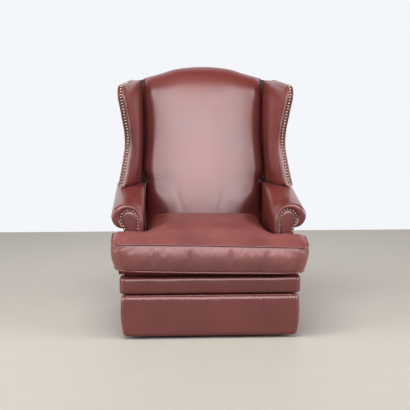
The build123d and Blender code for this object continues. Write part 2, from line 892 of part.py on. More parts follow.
# Footrest board, pad and the welt along its top edge
footrest_board_front = footrest_front + footrest_padding
with BuildPart() as footrest_board:
    with BuildSketch(Plane.XZ.offset(-footrest_board_front - footrest_board_thickness)):
        with Locations((0, footrest_bottom + footrest_board_margin)):
            Rectangle(
                2 * (footrest_half_width - footrest_board_margin),
                footrest_top - footrest_bottom - 2 * footrest_board_margin,
                align=(Align.CENTER, Align.MIN),
            )
    extrude(amount=footrest_board_thickness)
save(footrest_board.part, "footrest_board")

with BuildPart() as footrest_pad:
    with BuildSketch(Plane.XZ.offset(-footrest_board_front)) as panel_outline:
        with Locations((0, footrest_bottom)):
            Rectangle(
                2 * footrest_half_width,
                footrest_top - footrest_bottom,
                align=(Align.CENTER, Align.MIN),
            )
        fillet(panel_outline.vertices().group_by(Axis.Y)[0], footrest_corner)
    extrude(amount=footrest_padding)
    fillet(footrest_pad.faces().sort_by(Axis.Y)[0].edges(), footrest_roll)
    with BuildSketch(Plane.YZ):
        with Locations((footrest_front + footrest_roll, footrest_top)):
            Circle(footrest_welt_radius + pin_clearance)
    extrude(amount=footrest_half_width, both=True, mode=Mode.SUBTRACT)
save(footrest_pad.part, "footrest_pad")

# Linkage: flat steel links in layers inboard of the side boards
plate_inner = frame_inner - link_plate_thickness


def layer_outer(layer):
    return plate_inner - leaf_gap - (layer - 1) * (link_thickness + leaf_gap)


def side_point(pivot):
    return (-pivot[0], pivot[1])


def draw_link(*pivots):
    """Circles round two or three pivots, whose hull is a link's outline on a side plane."""
    with BuildLine() as circles:
        for pivot in pivots:
            CenterArc(side_point(pivot), link_half_width, 0, 360)
    return circles.edges()


def add_stud(pivot, start, end, radius=stud_radius):
    """Round stud along X between two places."""
    with Locations(Location((start, *side_point(pivot)), (0, 90, 0))):
        Cylinder(radius, end - start, align=(Align.CENTER, Align.CENTER, Align.MIN))


with BuildPart() as linkage_plate:
    with BuildSketch(Plane.YZ.offset(plate_inner)) as plate_outline:
        with BuildLine():
            Polyline(
                (link_plate_margin - rocker_pivot[0], drive_pivot[1] - link_plate_drop),
                (-link_plate_margin - drive_pivot[0], drive_pivot[1] - link_plate_drop),
                (-link_plate_margin - drive_pivot[0], drive_pivot[1] + link_plate_rise),
                (link_plate_margin - rocker_pivot[0], drive_pivot[1] + link_plate_rise),
                close=True,
            )
        make_face()
        fillet(plate_outline.vertices(), link_half_width)
        with Locations(side_point(drive_pivot)):
            Circle(tube_radius + pin_clearance, mode=Mode.SUBTRACT)
    extrude(amount=link_plate_thickness)
    add_stud(rocker_pivot, layer_outer(1) - link_thickness, plate_inner)
save_pair(linkage_plate.part, "linkage_plate")

with BuildPart() as torque_tube:
    with BuildSketch(Plane.YZ):
        with Locations(side_point(drive_pivot)):
            Circle(tube_radius)
    extrude(amount=frame_inner - leaf_gap, both=True)
save(torque_tube.part, "torque_tube")

with BuildPart() as drive_link:
    with BuildSketch(Plane.YZ.offset(layer_outer(3))):
        make_hull(draw_link(drive_pivot, drive_reach_pivot, drive_control_pivot))
        with Locations(side_point(drive_pivot)):
            Circle(tube_radius + pin_clearance, mode=Mode.SUBTRACT)
    extrude(amount=-link_thickness)
    add_stud(drive_reach_pivot, layer_outer(3), layer_outer(2))
    add_stud(drive_control_pivot, layer_outer(4) - link_thickness, layer_outer(4) + leaf_gap)
save_pair(drive_link.part, "drive_link")

with BuildPart() as rocker_link:
    with BuildSketch(Plane.YZ.offset(layer_outer(1))):
        make_hull(draw_link(rocker_pivot, rocker_reach_pivot))
        with Locations(side_point(rocker_pivot)):
            Circle(stud_radius + pin_clearance, mode=Mode.SUBTRACT)
    extrude(amount=-link_thickness)
    add_stud(rocker_reach_pivot, layer_outer(2) - link_thickness, layer_outer(2) + leaf_gap)
save_pair(rocker_link.part, "rocker_link")

with BuildPart() as reach_link:
    with BuildSketch(Plane.YZ.offset(layer_outer(2))):
        make_hull(draw_link(rocker_reach_pivot, drive_reach_pivot))
        make_hull(draw_link(drive_reach_pivot, footrest_reach_pivot))
        with Locations(side_point(drive_reach_pivot), side_point(footrest_reach_pivot)):
            Circle(stud_radius + pin_clearance, mode=Mode.SUBTRACT)
        with Locations(side_point(rocker_reach_pivot)):
            Circle(stud_radius + rocker_slack, mode=Mode.SUBTRACT)
    extrude(amount=-link_thickness)
save_pair(reach_link.part, "reach_link")

with BuildPart() as control_link:
    with BuildSketch(Plane.YZ.offset(layer_outer(4))):
        make_hull(draw_link(drive_control_pivot, footrest_control_pivot))
        with Locations(side_point(drive_control_pivot)):
            Circle(stud_radius + pin_clearance, mode=Mode.SUBTRACT)
        with Locations(side_point(footrest_control_pivot)):
            Circle(stud_radius + control_slack, mode=Mode.SUBTRACT)
    extrude(amount=-link_thickness)
save_pair(control_link.part, "control_link")

# Footrest brackets: an upright plate with a flange screwed to the board's rear face
footrest_board_rear = footrest_board_front + footrest_board_thickness
with BuildPart() as footrest_bracket:
    with BuildSketch(Plane.YZ.offset(layer_outer(3))):
        make_hull(draw_link(footrest_reach_pivot, footrest_control_pivot))
        with Locations(side_point(footrest_reach_pivot)):
            Rectangle(
                footrest_board_rear + footrest_reach_pivot[0],
                2 * link_half_width,
                align=(Align.MAX, Align.CENTER),
            )
    extrude(amount=-link_thickness)
    with BuildSketch(Plane.XZ.offset(-footrest_board_rear)):
        with Locations((layer_outer(3), footrest_reach_pivot[1])):
            Rectangle(footrest_angle_length, 2 * link_half_width, align=(Align.MAX, Align.CENTER))
    extrude(amount=-link_thickness)
    add_stud(footrest_reach_pivot, layer_outer(3), layer_outer(2))
    add_stud(footrest_control_pivot, layer_outer(4) - link_thickness, layer_outer(4) + leaf_gap)
save_pair(footrest_bracket.part, "footrest_bracket")

with BuildPart() as footrest_welt:
    with BuildSketch(Plane.YZ):
        with Locations((footrest_front + footrest_roll, footrest_top)):
            Circle(footrest_welt_radius)
    extrude(amount=footrest_half_width - footrest_roll, both=True)
save(footrest_welt.part, "footrest_welt")
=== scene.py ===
import json
import math

import bmesh
import bpy
import numpy as np
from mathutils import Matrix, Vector
from mathutils.geometry import delaunay_2d_cdt

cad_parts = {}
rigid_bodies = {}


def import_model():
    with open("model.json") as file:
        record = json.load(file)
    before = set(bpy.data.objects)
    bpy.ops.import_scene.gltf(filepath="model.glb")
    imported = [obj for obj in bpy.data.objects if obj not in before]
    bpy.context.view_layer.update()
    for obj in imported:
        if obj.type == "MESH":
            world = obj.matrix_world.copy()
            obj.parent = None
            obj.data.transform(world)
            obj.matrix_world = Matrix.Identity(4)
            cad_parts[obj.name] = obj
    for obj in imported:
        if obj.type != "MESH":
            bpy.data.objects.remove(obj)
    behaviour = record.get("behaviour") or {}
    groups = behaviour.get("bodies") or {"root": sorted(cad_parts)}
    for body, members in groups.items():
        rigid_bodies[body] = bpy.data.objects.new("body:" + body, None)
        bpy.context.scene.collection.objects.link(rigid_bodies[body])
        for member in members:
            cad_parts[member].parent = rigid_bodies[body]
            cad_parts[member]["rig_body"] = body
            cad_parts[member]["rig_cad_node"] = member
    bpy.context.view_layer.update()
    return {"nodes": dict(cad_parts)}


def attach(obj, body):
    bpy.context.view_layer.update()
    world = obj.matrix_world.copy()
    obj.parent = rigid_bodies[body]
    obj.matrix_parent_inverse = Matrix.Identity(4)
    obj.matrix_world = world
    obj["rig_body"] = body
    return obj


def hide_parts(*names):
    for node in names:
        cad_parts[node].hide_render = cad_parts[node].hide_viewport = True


# Wing recliner in oxblood leather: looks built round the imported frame, in metres
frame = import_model()
scene = bpy.context.scene
print("frame loaded")

# Places that many pieces share, taken from the chair's own sizes
lean = math.radians(12.6)      # slant of the back
pivot = (0.0, 0.205, 0.235)    # shaft that the back turns on
splay = math.radians(12)       # turn of the wings
wingFoot = 0.341               # where a wing's inner face meets the line of the arm's front
armInner = 0.276
armRise = 41 / 280
armFront = -0.277
armRear = 0.285
scrollTop = 0.544
crestReach = 0.2955
crestPeak = 0.912
crestDrop = 0.059              # from the peak to the shoulders


# Where the local points of each face go in the room
def placeFront(faceY):
    def place(x, z, height):
        return np.stack([x, faceY - height, z], axis=1)
    return place


def placeRear(faceY):
    def place(x, z, height):
        return np.stack([-x, faceY + height, z], axis=1)
    return place


def placeBack(x, up, height):
    y = pivot[1] + up * math.sin(lean) - height * math.cos(lean)
    z = pivot[2] + up * math.cos(lean) + height * math.sin(lean)
    return np.stack([x, y, z], axis=1)


def placeBackRear(x, up, height):
    return placeBack(-x, up, -height)


def placeSide(faceX):
    def place(y, z, height):
        return np.stack([faceX + height, y, z], axis=1)
    return place


def placeWing(along, z, outward):
    x = wingFoot - along * math.sin(splay) + outward * math.cos(splay)
    y = along * math.cos(splay) + outward * math.sin(splay)
    return np.stack([x, y, z], axis=1)


# Lines and outlines
def smoothLine(points, steps=12):
    # Catmull-Rom line through the points
    points = np.array(points, float)
    padded = np.vstack([2 * points[0] - points[1], points, 2 * points[-1] - points[-2]])
    line = []
    for span in range(len(points) - 1):
        a, b, c, d = padded[span:span + 4]
        for step in range(steps):
            t = step / steps
            line.append(0.5 * (2 * b + (c - a) * t + (2 * a - 5 * b + 4 * c - d) * t ** 2
                               + (3 * b - a - 3 * c + d) * t ** 3))
    line.append(points[-1])
    return np.array(line)


def lineTravel(points):
    # How far along a line each of its points lies
    return np.concatenate([[0], np.cumsum(np.linalg.norm(np.diff(points, axis=0), axis=1))])


def pointsAlong(points, travel, wanted):
    return np.stack([np.interp(wanted, travel, column) for column in points.T], axis=1)


def evenLine(points, spacing, closed=False):
    # The same line with its points evenly apart
    points = np.array(points, float)
    if closed:
        points = np.vstack([points, points[:1]])
    travel = lineTravel(points)
    count = max(2, int(round(travel[-1] / spacing)))
    wanted = np.linspace(0, travel[-1], count + 1)
    return pointsAlong(points, travel, wanted[:-1] if closed else wanted)


def lineWays(line, closed=False):
    # The direction of a line at each of its points
    if closed:
        ways = np.roll(line, -1, axis=0) - np.roll(line, 1, axis=0)
    else:
        ways = np.gradient(line, axis=0)
    return ways / np.linalg.norm(ways, axis=1)[:, None]


def arcLine(centre, radius, start, end, count=24):
    angles = np.radians(np.linspace(start, end, count))
    return [(centre[0] + radius * math.cos(a), centre[1] + radius * math.sin(a)) for a in angles]


def roundedBox(left, right, low, high, corners, spacing=0.006):
    # Outline of a box with its four corner radii: low left, low right, high right, high left
    a, b, c, d = corners
    line = []
    line += arcLine((left + a, low + a), a, 180, 270, 8)
    line += arcLine((right - b, low + b), b, 270, 360, 8)
    line += arcLine((right - c, high - c), c, 0, 90, 8)
    line += arcLine((left + d, high - d), d, 90, 180, 8)
    return evenLine(line, spacing, closed=True)


def distanceTo(path, points, closed=True):
    # How far each point lies from a line
    path = np.array(path, float)
    starts = path if closed else path[:-1]
    ends = np.roll(path, -1, axis=0) if closed else path[1:]
    spans = ends - starts
    lengths = np.maximum((spans ** 2).sum(1), 1e-18)
    nearest = np.full(len(points), 1e9)
    for first in range(0, len(points), 2000):
        block = points[first:first + 2000]
        offsets = block[:, None, :] - starts[None]
        share = np.clip((offsets * spans[None]).sum(2) / lengths[None], 0, 1)
        gaps = offsets - share[..., None] * spans[None]
        nearest[first:first + 2000] = np.sqrt((gaps ** 2).sum(2)).min(1)
    return nearest


def insideOf(path, points):
    # Which points lie inside a closed line
    x, y = points[:, 0], points[:, 1]
    inside = np.zeros(len(points), bool)
    for (x0, y0), (x1, y1) in zip(path, np.roll(path, -1, axis=0)):
        if y0 != y1:
            crossing = (y0 > y) != (y1 > y)
            inside ^= crossing & (x < (x1 - x0) * (y - y0) / (y1 - y0) + x0)
    return inside


# Filling an outline: pitch of the grid's rows, and gaps to the edge, the rings and the creases
filling = {"rowPitch": 0.87, "ringGap": 0.97, "gridGap": 0.55, "creaseGap": 0.45}


def fillOutline(outline, spacing, insets, creases=()):
    # Points and triangles inside an outline, close together near its edge
    outline = np.array(outline, float)
    after = np.roll(outline, -1, axis=0)
    if ((outline[:, 0] * after[:, 1]) - (after[:, 0] * outline[:, 1])).sum() < 0:
        outline = outline[::-1]
    tangents = lineWays(outline, closed=True)
    inward = np.stack([-tangents[:, 1], tangents[:, 0]], axis=1)
    gathered = []
    for inset in insets:
        ring = outline + inward * inset
        crowded = distanceTo(outline, ring) <= filling["ringGap"] * inset
        gathered.append(ring[insideOf(outline, ring) & ~crowded])
    low, high = outline.min(0), outline.max(0)
    grid = []
    for number, row in enumerate(np.arange(low[1], high[1], spacing * filling["rowPitch"])):
        shift = spacing / 2 if number % 2 else 0
        columns = np.arange(low[0] + shift, high[0], spacing)
        grid.append(np.stack([columns, np.full(len(columns), row)], axis=1))
    grid = np.vstack(grid)
    grid = grid[insideOf(outline, grid)]
    gathered.append(grid[distanceTo(outline, grid) > max(insets) + spacing * filling["gridGap"]])
    extra = np.vstack(gathered)
    creaseEdges, first = [], len(outline)
    for crease in creases:
        extra = extra[distanceTo(crease, extra, closed=False) > spacing * filling["creaseGap"]]
        creaseEdges += [(first + i, first + i + 1) for i in range(len(crease) - 1)]
        first += len(crease)
    points = np.vstack([outline, *creases, extra])
    rim = [list(range(len(outline)))]
    made = delaunay_2d_cdt([Vector(p) for p in points], creaseEdges, rim, 1, 1e-6)
    return outline, np.array([tuple(p) for p in made[0]]), [tuple(face) for face in made[2]]


def rounding(distance, radius):
    # How far a rounded edge falls below its face
    reach = np.clip(distance, 0, radius)
    return radius - np.sqrt(np.maximum(radius ** 2 - (radius - reach) ** 2, 0))


def smoothStep(value, low, high):
    share = np.clip((value - low) / (high - low), 0, 1)
    return share * share * (3 - 2 * share)


def waveField(x, y, size, seed):
    # Soft uneven field between about -1 and 1
    source = np.random.default_rng(seed)
    total = np.zeros(len(x))
    waves = 7
    for number in range(waves):
        angle = source.uniform(0, math.pi)
        length = size * source.uniform(0.7, 1.6)
        phase = source.uniform(0, 2 * math.pi)
        total += np.sin(2 * math.pi * (x * math.cos(angle) + y * math.sin(angle)) / length + phase)
    return total / (waves / 2)


# Meshes
def linkObject(name, data):
    made = bpy.data.objects.new(name, data)
    scene.collection.objects.link(made)
    return made


def newPiece(name, vertices, faces, sharpness=50):
    mesh = bpy.data.meshes.new(name)
    mesh.from_pydata([tuple(map(float, v)) for v in vertices], [], [tuple(f) for f in faces])
    mesh.validate()
    made = bmesh.new()
    made.from_mesh(mesh)
    bmesh.ops.remove_doubles(made, verts=made.verts, dist=1e-6)
    bmesh.ops.recalc_face_normals(made, faces=made.faces)
    made.to_mesh(mesh)
    made.free()
    mesh.shade_smooth()
    mesh.set_sharp_from_angle(angle=math.radians(sharpness))
    return linkObject(name, mesh)


def newTube(name, rows, sharpness, turned=False):
    # Closed piece whose skin runs over rows of points that each go round once
    count, around = len(rows), len(rows[0])
    faces = []
    for low in range(0, (count - 1) * around, around):
        high = low + around
        for spot in range(around):
            after = (spot + 1) % around
            side = (low + spot, low + after, high + after, high + spot)
            faces.append((side[0], side[3], side[2], side[1]) if turned else side)
    faces += [tuple(range(around)), tuple(range((count - 1) * around, count * around))[::-1]]
    return newPiece(name, np.vstack(rows), faces, sharpness)


def raisePanel(name, outline, height, place, spacing, insets, base=0.0, creases=(), sharpness=50):
    # Closed panel over an outline: its face follows the height, its back is flat
    edge, flat, triangles = fillOutline(outline, spacing, insets, creases)
    face = place(flat[:, 0], flat[:, 1], height(flat[:, 0], flat[:, 1]))
    back = place(edge[:, 0], edge[:, 1], np.full(len(edge), base))
    count, rim = len(flat), len(edge)
    faces = list(triangles)
    for i in range(rim):
        j = (i + 1) % rim
        faces.append((j, i, count + i, count + j))
    faces.append(tuple(range(count, count + rim)))
    return newPiece(name, np.vstack([face, back]), faces, sharpness)


def thinFace(outline, thickness, edge):
    # Height of a thin cover that is flat up to its rounded edge
    def height(a, b):
        return thickness - rounding(distanceTo(outline, np.stack([a, b], axis=1)), edge)
    return height


def mirrorPiece(piece, name):
    # The same piece on the chair's other side
    mesh = piece.data.copy()
    mesh.name = name
    for vertex in mesh.vertices:
        vertex.co.x = -vertex.co.x
    mesh.flip_normals()
    return linkObject(name, mesh)


def bakeModifiers(piece):
    # Turns what the modifiers show into the piece's own mesh
    bpy.context.view_layer.update()
    shown = piece.evaluated_get(bpy.context.evaluated_depsgraph_get())
    mesh = bpy.data.meshes.new_from_object(shown)
    piece.modifiers.clear()
    piece.data = mesh


def readPoints(piece):
    points = np.zeros(len(piece.data.vertices) * 3)
    piece.data.vertices.foreach_get("co", points)
    return points.reshape(-1, 3)


def writePoints(piece, points):
    piece.data.vertices.foreach_set("co", points.astype(np.float32).ravel())
    piece.data.update()


def readNormals(piece):
    normals = np.zeros(len(piece.data.vertices) * 3, np.float32)
    piece.data.vertices.foreach_get("normal", normals)
    return normals.reshape(-1, 3).astype(float)


def weighGroup(piece, name, weights):
    # Vertex group of all points that have more than a trace of weight
    group = piece.vertex_groups.new(name=name)
    for number in np.nonzero(weights > 0.02)[0]:
        group.add([int(number)], float(min(1, weights[number])), "REPLACE")


clothRun = {"frames": 20, "quality": 4, "mass": 0.5, "pin": 20}


def puffUp(piece, held, settings):
    # Blows the leather out between its tacked edges, then keeps the result as the piece's mesh
    before = readPoints(piece)
    weighGroup(piece, "tacked", held)
    cloth = piece.modifiers.new("leather", "CLOTH")
    cloth.settings.quality = clothRun["quality"]
    cloth.settings.mass = clothRun["mass"]
    cloth.settings.tension_stiffness = settings["tension"]
    cloth.settings.compression_stiffness = settings["tension"]
    cloth.settings.shear_stiffness = settings["tension"] / 2
    cloth.settings.bending_stiffness = settings["bending"]
    cloth.settings.shrink_min = -settings["spare"]
    cloth.settings.use_pressure = True
    cloth.settings.uniform_pressure_force = settings["pressure"]
    cloth.settings.vertex_group_mass = "tacked"
    cloth.settings.pin_stiffness = clothRun["pin"]
    cloth.settings.effector_weights.gravity = 0
    cloth.collision_settings.use_collision = False
    cloth.collision_settings.use_self_collision = False
    cloth.point_cache.frame_start = 1
    cloth.point_cache.frame_end = clothRun["frames"]
    for number in range(1, clothRun["frames"] + 1):
        scene.frame_set(number)
    bpy.context.view_layer.update()
    shown = piece.evaluated_get(bpy.context.evaluated_depsgraph_get())
    after = np.zeros(len(before) * 3)
    shown.data.vertices.foreach_get("co", after)
    piece.modifiers.clear()
    piece.vertex_groups.clear()
    scene.frame_set(1)
    shift = after.reshape(-1, 3) - before
    length = np.linalg.norm(shift, axis=1)
    kept = settings["cap"] * np.tanh(length / settings["cap"]) / np.maximum(length, 1e-9)
    writePoints(piece, before + shift * kept[:, None])
    mean, most = 1000 * length.mean(), 1000 * length.max()
    print(f"{piece.name}: puffed by {mean:.1f} mm on average, {most:.1f} mm at most")


def pipeAlong(name, path, radius, closed=False):
    # Welt or piping: a tube along a line
    curve = bpy.data.curves.new(name, "CURVE")
    curve.dimensions = "3D"
    curve.bevel_depth = radius
    curve.bevel_resolution = 2
    curve.use_fill_caps = not closed
    spline = curve.splines.new("POLY")
    spline.points.add(len(path) - 1)
    spline.points.foreach_set("co", np.hstack([path, np.ones((len(path), 1))]).ravel())
    spline.use_cyclic_u = closed
    holder = linkObject(name, curve)
    bpy.context.view_layer.update()
    mesh = bpy.data.meshes.new_from_object(holder.evaluated_get(bpy.context.evaluated_depsgraph_get()))
    bpy.data.objects.remove(holder)
    mesh.name = name
    mesh.shade_smooth()
    return linkObject(name, mesh)


# Shader groups, each built once and placed in several materials
def newGroup(name, inputs):
    # Starts a group that gives a colour, a roughness and the height of the relief
    tree = bpy.data.node_groups.new(name, "ShaderNodeTree")
    for label, kind, value in inputs:
        socket = tree.interface.new_socket(name=label, in_out="INPUT", socket_type=kind)
        socket.default_value = value
    for label, kind in (("Color", "NodeSocketColor"), ("Roughness", "NodeSocketFloat"),
                        ("Height", "NodeSocketFloat")):
        tree.interface.new_socket(name=label, in_out="OUTPUT", socket_type=kind)
    given, out = tree.nodes.new("NodeGroupInput"), tree.nodes.new("NodeGroupOutput")
    return tree, given, out, tree.nodes.new("ShaderNodeTexCoord"), tree.links.new


def addNode(tree, kind, settings=(), **values):
    node = tree.nodes.new(kind)
    for key, value in dict(settings).items():
        setattr(node, key, value)
    for key, value in values.items():
        node.inputs[key.replace("_", " ")].default_value = value
    return node


def feed(tree, source, socket):
    # Links an output to a socket, or sets the socket to a number or a colour
    if isinstance(source, bpy.types.NodeSocket):
        tree.links.new(source, socket)
    else:
        socket.default_value = source


def addMath(tree, operation, *sources):
    node = tree.nodes.new("ShaderNodeMath")
    node.operation = operation
    for slot, source in enumerate(sources):
        feed(tree, source, node.inputs[slot])
    return node.outputs[0]


def mixColour(tree, share, first, second):
    node = tree.nodes.new("ShaderNodeMix")
    node.data_type = "RGBA"
    for slot, source in ((0, share), (6, first), (7, second)):
        feed(tree, source, node.inputs[slot])
    return node.outputs[2]


def makeLeather():
    # Pebbled grain, soft mottling and fine crease lines
    tree, given, out, place, link = newGroup("leatherSurface", [
        ("Tone", "NodeSocketColor", (0.17, 0.045, 0.04, 1)),
        ("Shade", "NodeSocketColor", (0.09, 0.02, 0.018, 1)),
        ("Grain Scale", "NodeSocketFloat", 420.0),
        ("Crease Scale", "NodeSocketFloat", 9.0),
        ("Crease Strength", "NodeSocketFloat", 0.2),
        ("Gloss", "NodeSocketFloat", 0.38),
    ])
    mottle = addNode(tree, "ShaderNodeTexNoise", Scale=7.0, Detail=5.0, Roughness=0.6)
    specks = addNode(tree, "ShaderNodeTexNoise", Scale=90.0, Detail=3.0, Roughness=0.7)
    pebbles = addNode(tree, "ShaderNodeTexVoronoi", {"feature": "SMOOTH_F1"}, Randomness=1.0)
    creases = addNode(tree, "ShaderNodeTexNoise", {"noise_type": "RIDGED_MULTIFRACTAL"}, Detail=4.0,
                      Roughness=0.5)
    for node in (mottle, specks, pebbles, creases):
        link(place.outputs["Object"], node.inputs["Vector"])
    link(given.outputs["Grain Scale"], pebbles.inputs["Scale"])
    link(given.outputs["Crease Scale"], creases.inputs["Scale"])
    patches = addMath(tree, "MULTIPLY_ADD", mottle.outputs["Fac"], 1.6, -0.3)
    toned = mixColour(tree, patches, given.outputs["Shade"], given.outputs["Tone"])
    specked = addMath(tree, "MULTIPLY", specks.outputs["Fac"], 0.16)
    link(mixColour(tree, specked, toned, given.outputs["Shade"]), out.inputs["Color"])
    polish = addMath(tree, "MULTIPLY_ADD", mottle.outputs["Fac"], 0.14, -0.07)
    polish = addMath(tree, "MULTIPLY_ADD", specks.outputs["Fac"], 0.06, polish)
    link(addMath(tree, "ADD", given.outputs["Gloss"], polish), out.inputs["Roughness"])
    folds = addMath(tree, "MULTIPLY", creases.outputs["Fac"], given.outputs["Crease Strength"])
    link(addMath(tree, "MULTIPLY_ADD", pebbles.outputs["Distance"], 0.5, folds), out.inputs["Height"])
    return tree


def makeMetal():
    # Brushed or plated metal: fine scratches and dull patches
    tree, given, out, place, link = newGroup("metalSurface", [
        ("Tone", "NodeSocketColor", (0.5, 0.5, 0.5, 1)),
        ("Tarnish", "NodeSocketColor", (0.2, 0.18, 0.16, 1)),
        ("Tarnish Amount", "NodeSocketFloat", 0.4),
        ("Gloss", "NodeSocketFloat", 0.3),
    ])
    patches = addNode(tree, "ShaderNodeTexNoise", Scale=60.0, Detail=4.0, Roughness=0.6)
    scratches = addNode(tree, "ShaderNodeTexNoise", Scale=700.0, Detail=2.0, Roughness=0.5)
    for node in (patches, scratches):
        link(place.outputs["Object"], node.inputs["Vector"])
    dulled = addMath(tree, "MULTIPLY", patches.outputs["Fac"], given.outputs["Tarnish Amount"])
    link(mixColour(tree, dulled, given.outputs["Tone"], given.outputs["Tarnish"]), out.inputs["Color"])
    link(addMath(tree, "MULTIPLY_ADD", patches.outputs["Fac"], 0.25, given.outputs["Gloss"]),
         out.inputs["Roughness"])
    link(scratches.outputs["Fac"], out.inputs["Height"])
    return tree


def makeWood():
    # Sawn hardwood: stretched rings and pores along one axis
    tree, given, out, place, link = newGroup("woodSurface", [
        ("Early", "NodeSocketColor", (0.45, 0.29, 0.16, 1)),
        ("Late", "NodeSocketColor", (0.27, 0.15, 0.08, 1)),
        ("Along", "NodeSocketVector", (1.0, 14.0, 14.0)),
    ])
    turn = tree.nodes.new("ShaderNodeMapping")
    link(place.outputs["Object"], turn.inputs["Vector"])
    link(given.outputs["Along"], turn.inputs["Scale"])
    rings = addNode(tree, "ShaderNodeTexNoise", Scale=3.0, Detail=6.0, Roughness=0.65, Distortion=0.6)
    pores = addNode(tree, "ShaderNodeTexNoise", Scale=40.0, Detail=2.0, Roughness=0.5)
    for node in (rings, pores):
        link(turn.outputs["Vector"], node.inputs["Vector"])
    bands = addMath(tree, "FRACT", addMath(tree, "MULTIPLY", rings.outputs["Fac"], 7.0))
    link(mixColour(tree, bands, given.outputs["Early"], given.outputs["Late"]), out.inputs["Color"])
    link(addMath(tree, "MULTIPLY_ADD", pores.outputs["Fac"], 0.2, 0.5), out.inputs["Roughness"])
    link(pores.outputs["Fac"], out.inputs["Height"])
    return tree


def makeCloth():
    # Woven cloth: two sets of threads crossing
    tree, given, out, place, link = newGroup("wovenSurface", [
        ("Warp", "NodeSocketColor", (0.1, 0.09, 0.08, 1)),
        ("Weft", "NodeSocketColor", (0.16, 0.14, 0.12, 1)),
        ("Thread Scale", "NodeSocketFloat", 600.0),
    ])
    warp = addNode(tree, "ShaderNodeTexWave", {"bands_direction": "X"}, Distortion=0.4, Detail=1.0)
    weft = addNode(tree, "ShaderNodeTexWave", {"bands_direction": "Y"}, Distortion=0.4, Detail=1.0)
    stain = addNode(tree, "ShaderNodeTexNoise", Scale=12.0, Detail=4.0, Roughness=0.6)
    for node in (warp, weft, stain):
        link(place.outputs["Object"], node.inputs["Vector"])
    for node in (warp, weft):
        link(given.outputs["Thread Scale"], node.inputs["Scale"])
    threads = addMath(tree, "MAXIMUM", warp.outputs["Fac"], weft.outputs["Fac"])
    link(mixColour(tree, threads, given.outputs["Warp"], given.outputs["Weft"]), out.inputs["Color"])
    link(addMath(tree, "MULTIPLY_ADD", stain.outputs["Fac"], 0.2, 0.7), out.inputs["Roughness"])
    link(threads, out.inputs["Height"])
    return tree


leatherTree, metalTree, woodTree, clothTree = makeLeather(), makeMetal(), makeWood(), makeCloth()


def newMaterial(name, tree, values, bump, **surface):
    # Material whose colour, roughness and relief come from a group; fixed values sit on the shader
    material = bpy.data.materials.new(name)
    material.use_nodes = True
    nodes = material.node_tree
    shader = nodes.nodes["Principled BSDF"]
    group = nodes.nodes.new("ShaderNodeGroup")
    group.node_tree = tree
    for key, value in values.items():
        group.inputs[key].default_value = value
    relief = addNode(nodes, "ShaderNodeBump", Strength=bump[0], Distance=bump[1])
    nodes.links.new(group.outputs["Color"], shader.inputs["Base Color"])
    nodes.links.new(group.outputs["Roughness"], shader.inputs["Roughness"])
    nodes.links.new(group.outputs["Height"], relief.inputs["Height"])
    nodes.links.new(relief.outputs["Normal"], shader.inputs["Normal"])
    for key, value in surface.items():
        shader.inputs[key.replace("_", " ")].default_value = value
    return material


oxblood = {"Tone": (0.156, 0.030, 0.025, 1), "Shade": (0.104, 0.018, 0.0155, 1), "Gloss": 0.30}


def newLeather(name, changes, bump, **surface):
    # The hide of the whole chair, with what differs in one place
    return newMaterial(name, leatherTree, {**oxblood, **changes}, bump, **surface)


padLeather = newLeather("padLeather", {"Crease Strength": 0.02}, (0.06, 0.0005),
                        Coat_Weight=0.32, Coat_Roughness=0.24)
# The seat's tone is painted lighter than the rest of the hide, as painted light on the cushion; its
# finer creases and rougher gloss are the leather's own
seatLeatherPaintedLight = newLeather("seatLeatherPaintedLight", {"Tone": (0.230, 0.056, 0.051, 1), "Crease Scale": 16.0,
                                         "Crease Strength": 0.5, "Gloss": 0.42},
                         (0.18, 0.0012), Coat_Weight=0.30, Coat_Roughness=0.42)
# The wings' tone is painted lighter than the rest of the hide, as painted light on the wing faces
wingLeatherPaintedLight = newLeather("wingLeatherPaintedLight", {"Tone": (0.180, 0.038, 0.033, 1), "Crease Strength": 0.02,
                                         "Gloss": 0.34},
                         (0.06, 0.0005), Coat_Weight=0.35, Coat_Roughness=0.28)
panelLeather = newLeather("panelLeather", {"Crease Strength": 0.05, "Gloss": 0.29}, (0.1, 0.0006),
                          Coat_Weight=0.10, Coat_Roughness=0.22)
weltLeather = newLeather("weltLeather", {"Grain Scale": 600.0}, (0.1, 0.0006),
                         Coat_Weight=0.2, Coat_Roughness=0.25)
# The band's tone is painted darker than the rest of the hide, as painted shade under the cushion's
# overhang
bandLeatherPaintedShade = newLeather("bandLeatherPaintedShade", {"Tone": (0.135, 0.026, 0.022, 1), "Crease Strength": 0.05},
                         (0.1, 0.0006), Coat_Weight=0.0)
# Near-black leather as painted shade: it fills the gaps round the back pad and lies under the nail rows
paintedShadeLeather = newLeather("paintedShadeLeather", {"Tone": (0.035, 0.012, 0.010, 1),
                                             "Shade": (0.025, 0.009, 0.008, 1), "Gloss": 0.7},
                           (0.1, 0.0006))
agedBrass = newMaterial("agedBrass", metalTree,
                        {"Tone": (0.62, 0.52, 0.42, 1), "Tarnish": (0.10, 0.07, 0.05, 1),
                         "Tarnish Amount": 0.4, "Gloss": 0.14}, (0.05, 0.0002), Metallic=1.0)
platedSteel = newMaterial("platedSteel", metalTree,
                          {"Tone": (0.5, 0.5, 0.48, 1), "Tarnish": (0.22, 0.21, 0.2, 1), "Gloss": 0.3},
                          (0.08, 0.0003), Metallic=1.0)
springSteel = newMaterial("springSteel", metalTree,
                          {"Tone": (0.2, 0.2, 0.21, 1), "Tarnish": (0.08, 0.07, 0.06, 1), "Gloss": 0.35},
                          (0.08, 0.0003), Metallic=1.0)
frameWood = newMaterial("frameWood", woodTree, {"Along": (14.0, 1.0, 14.0)}, (0.2, 0.0006))
crossWood = newMaterial("crossWood", woodTree, {"Along": (1.0, 14.0, 14.0)}, (0.2, 0.0006))
postWood = newMaterial("postWood", woodTree, {"Along": (14.0, 14.0, 1.0)}, (0.2, 0.0006))
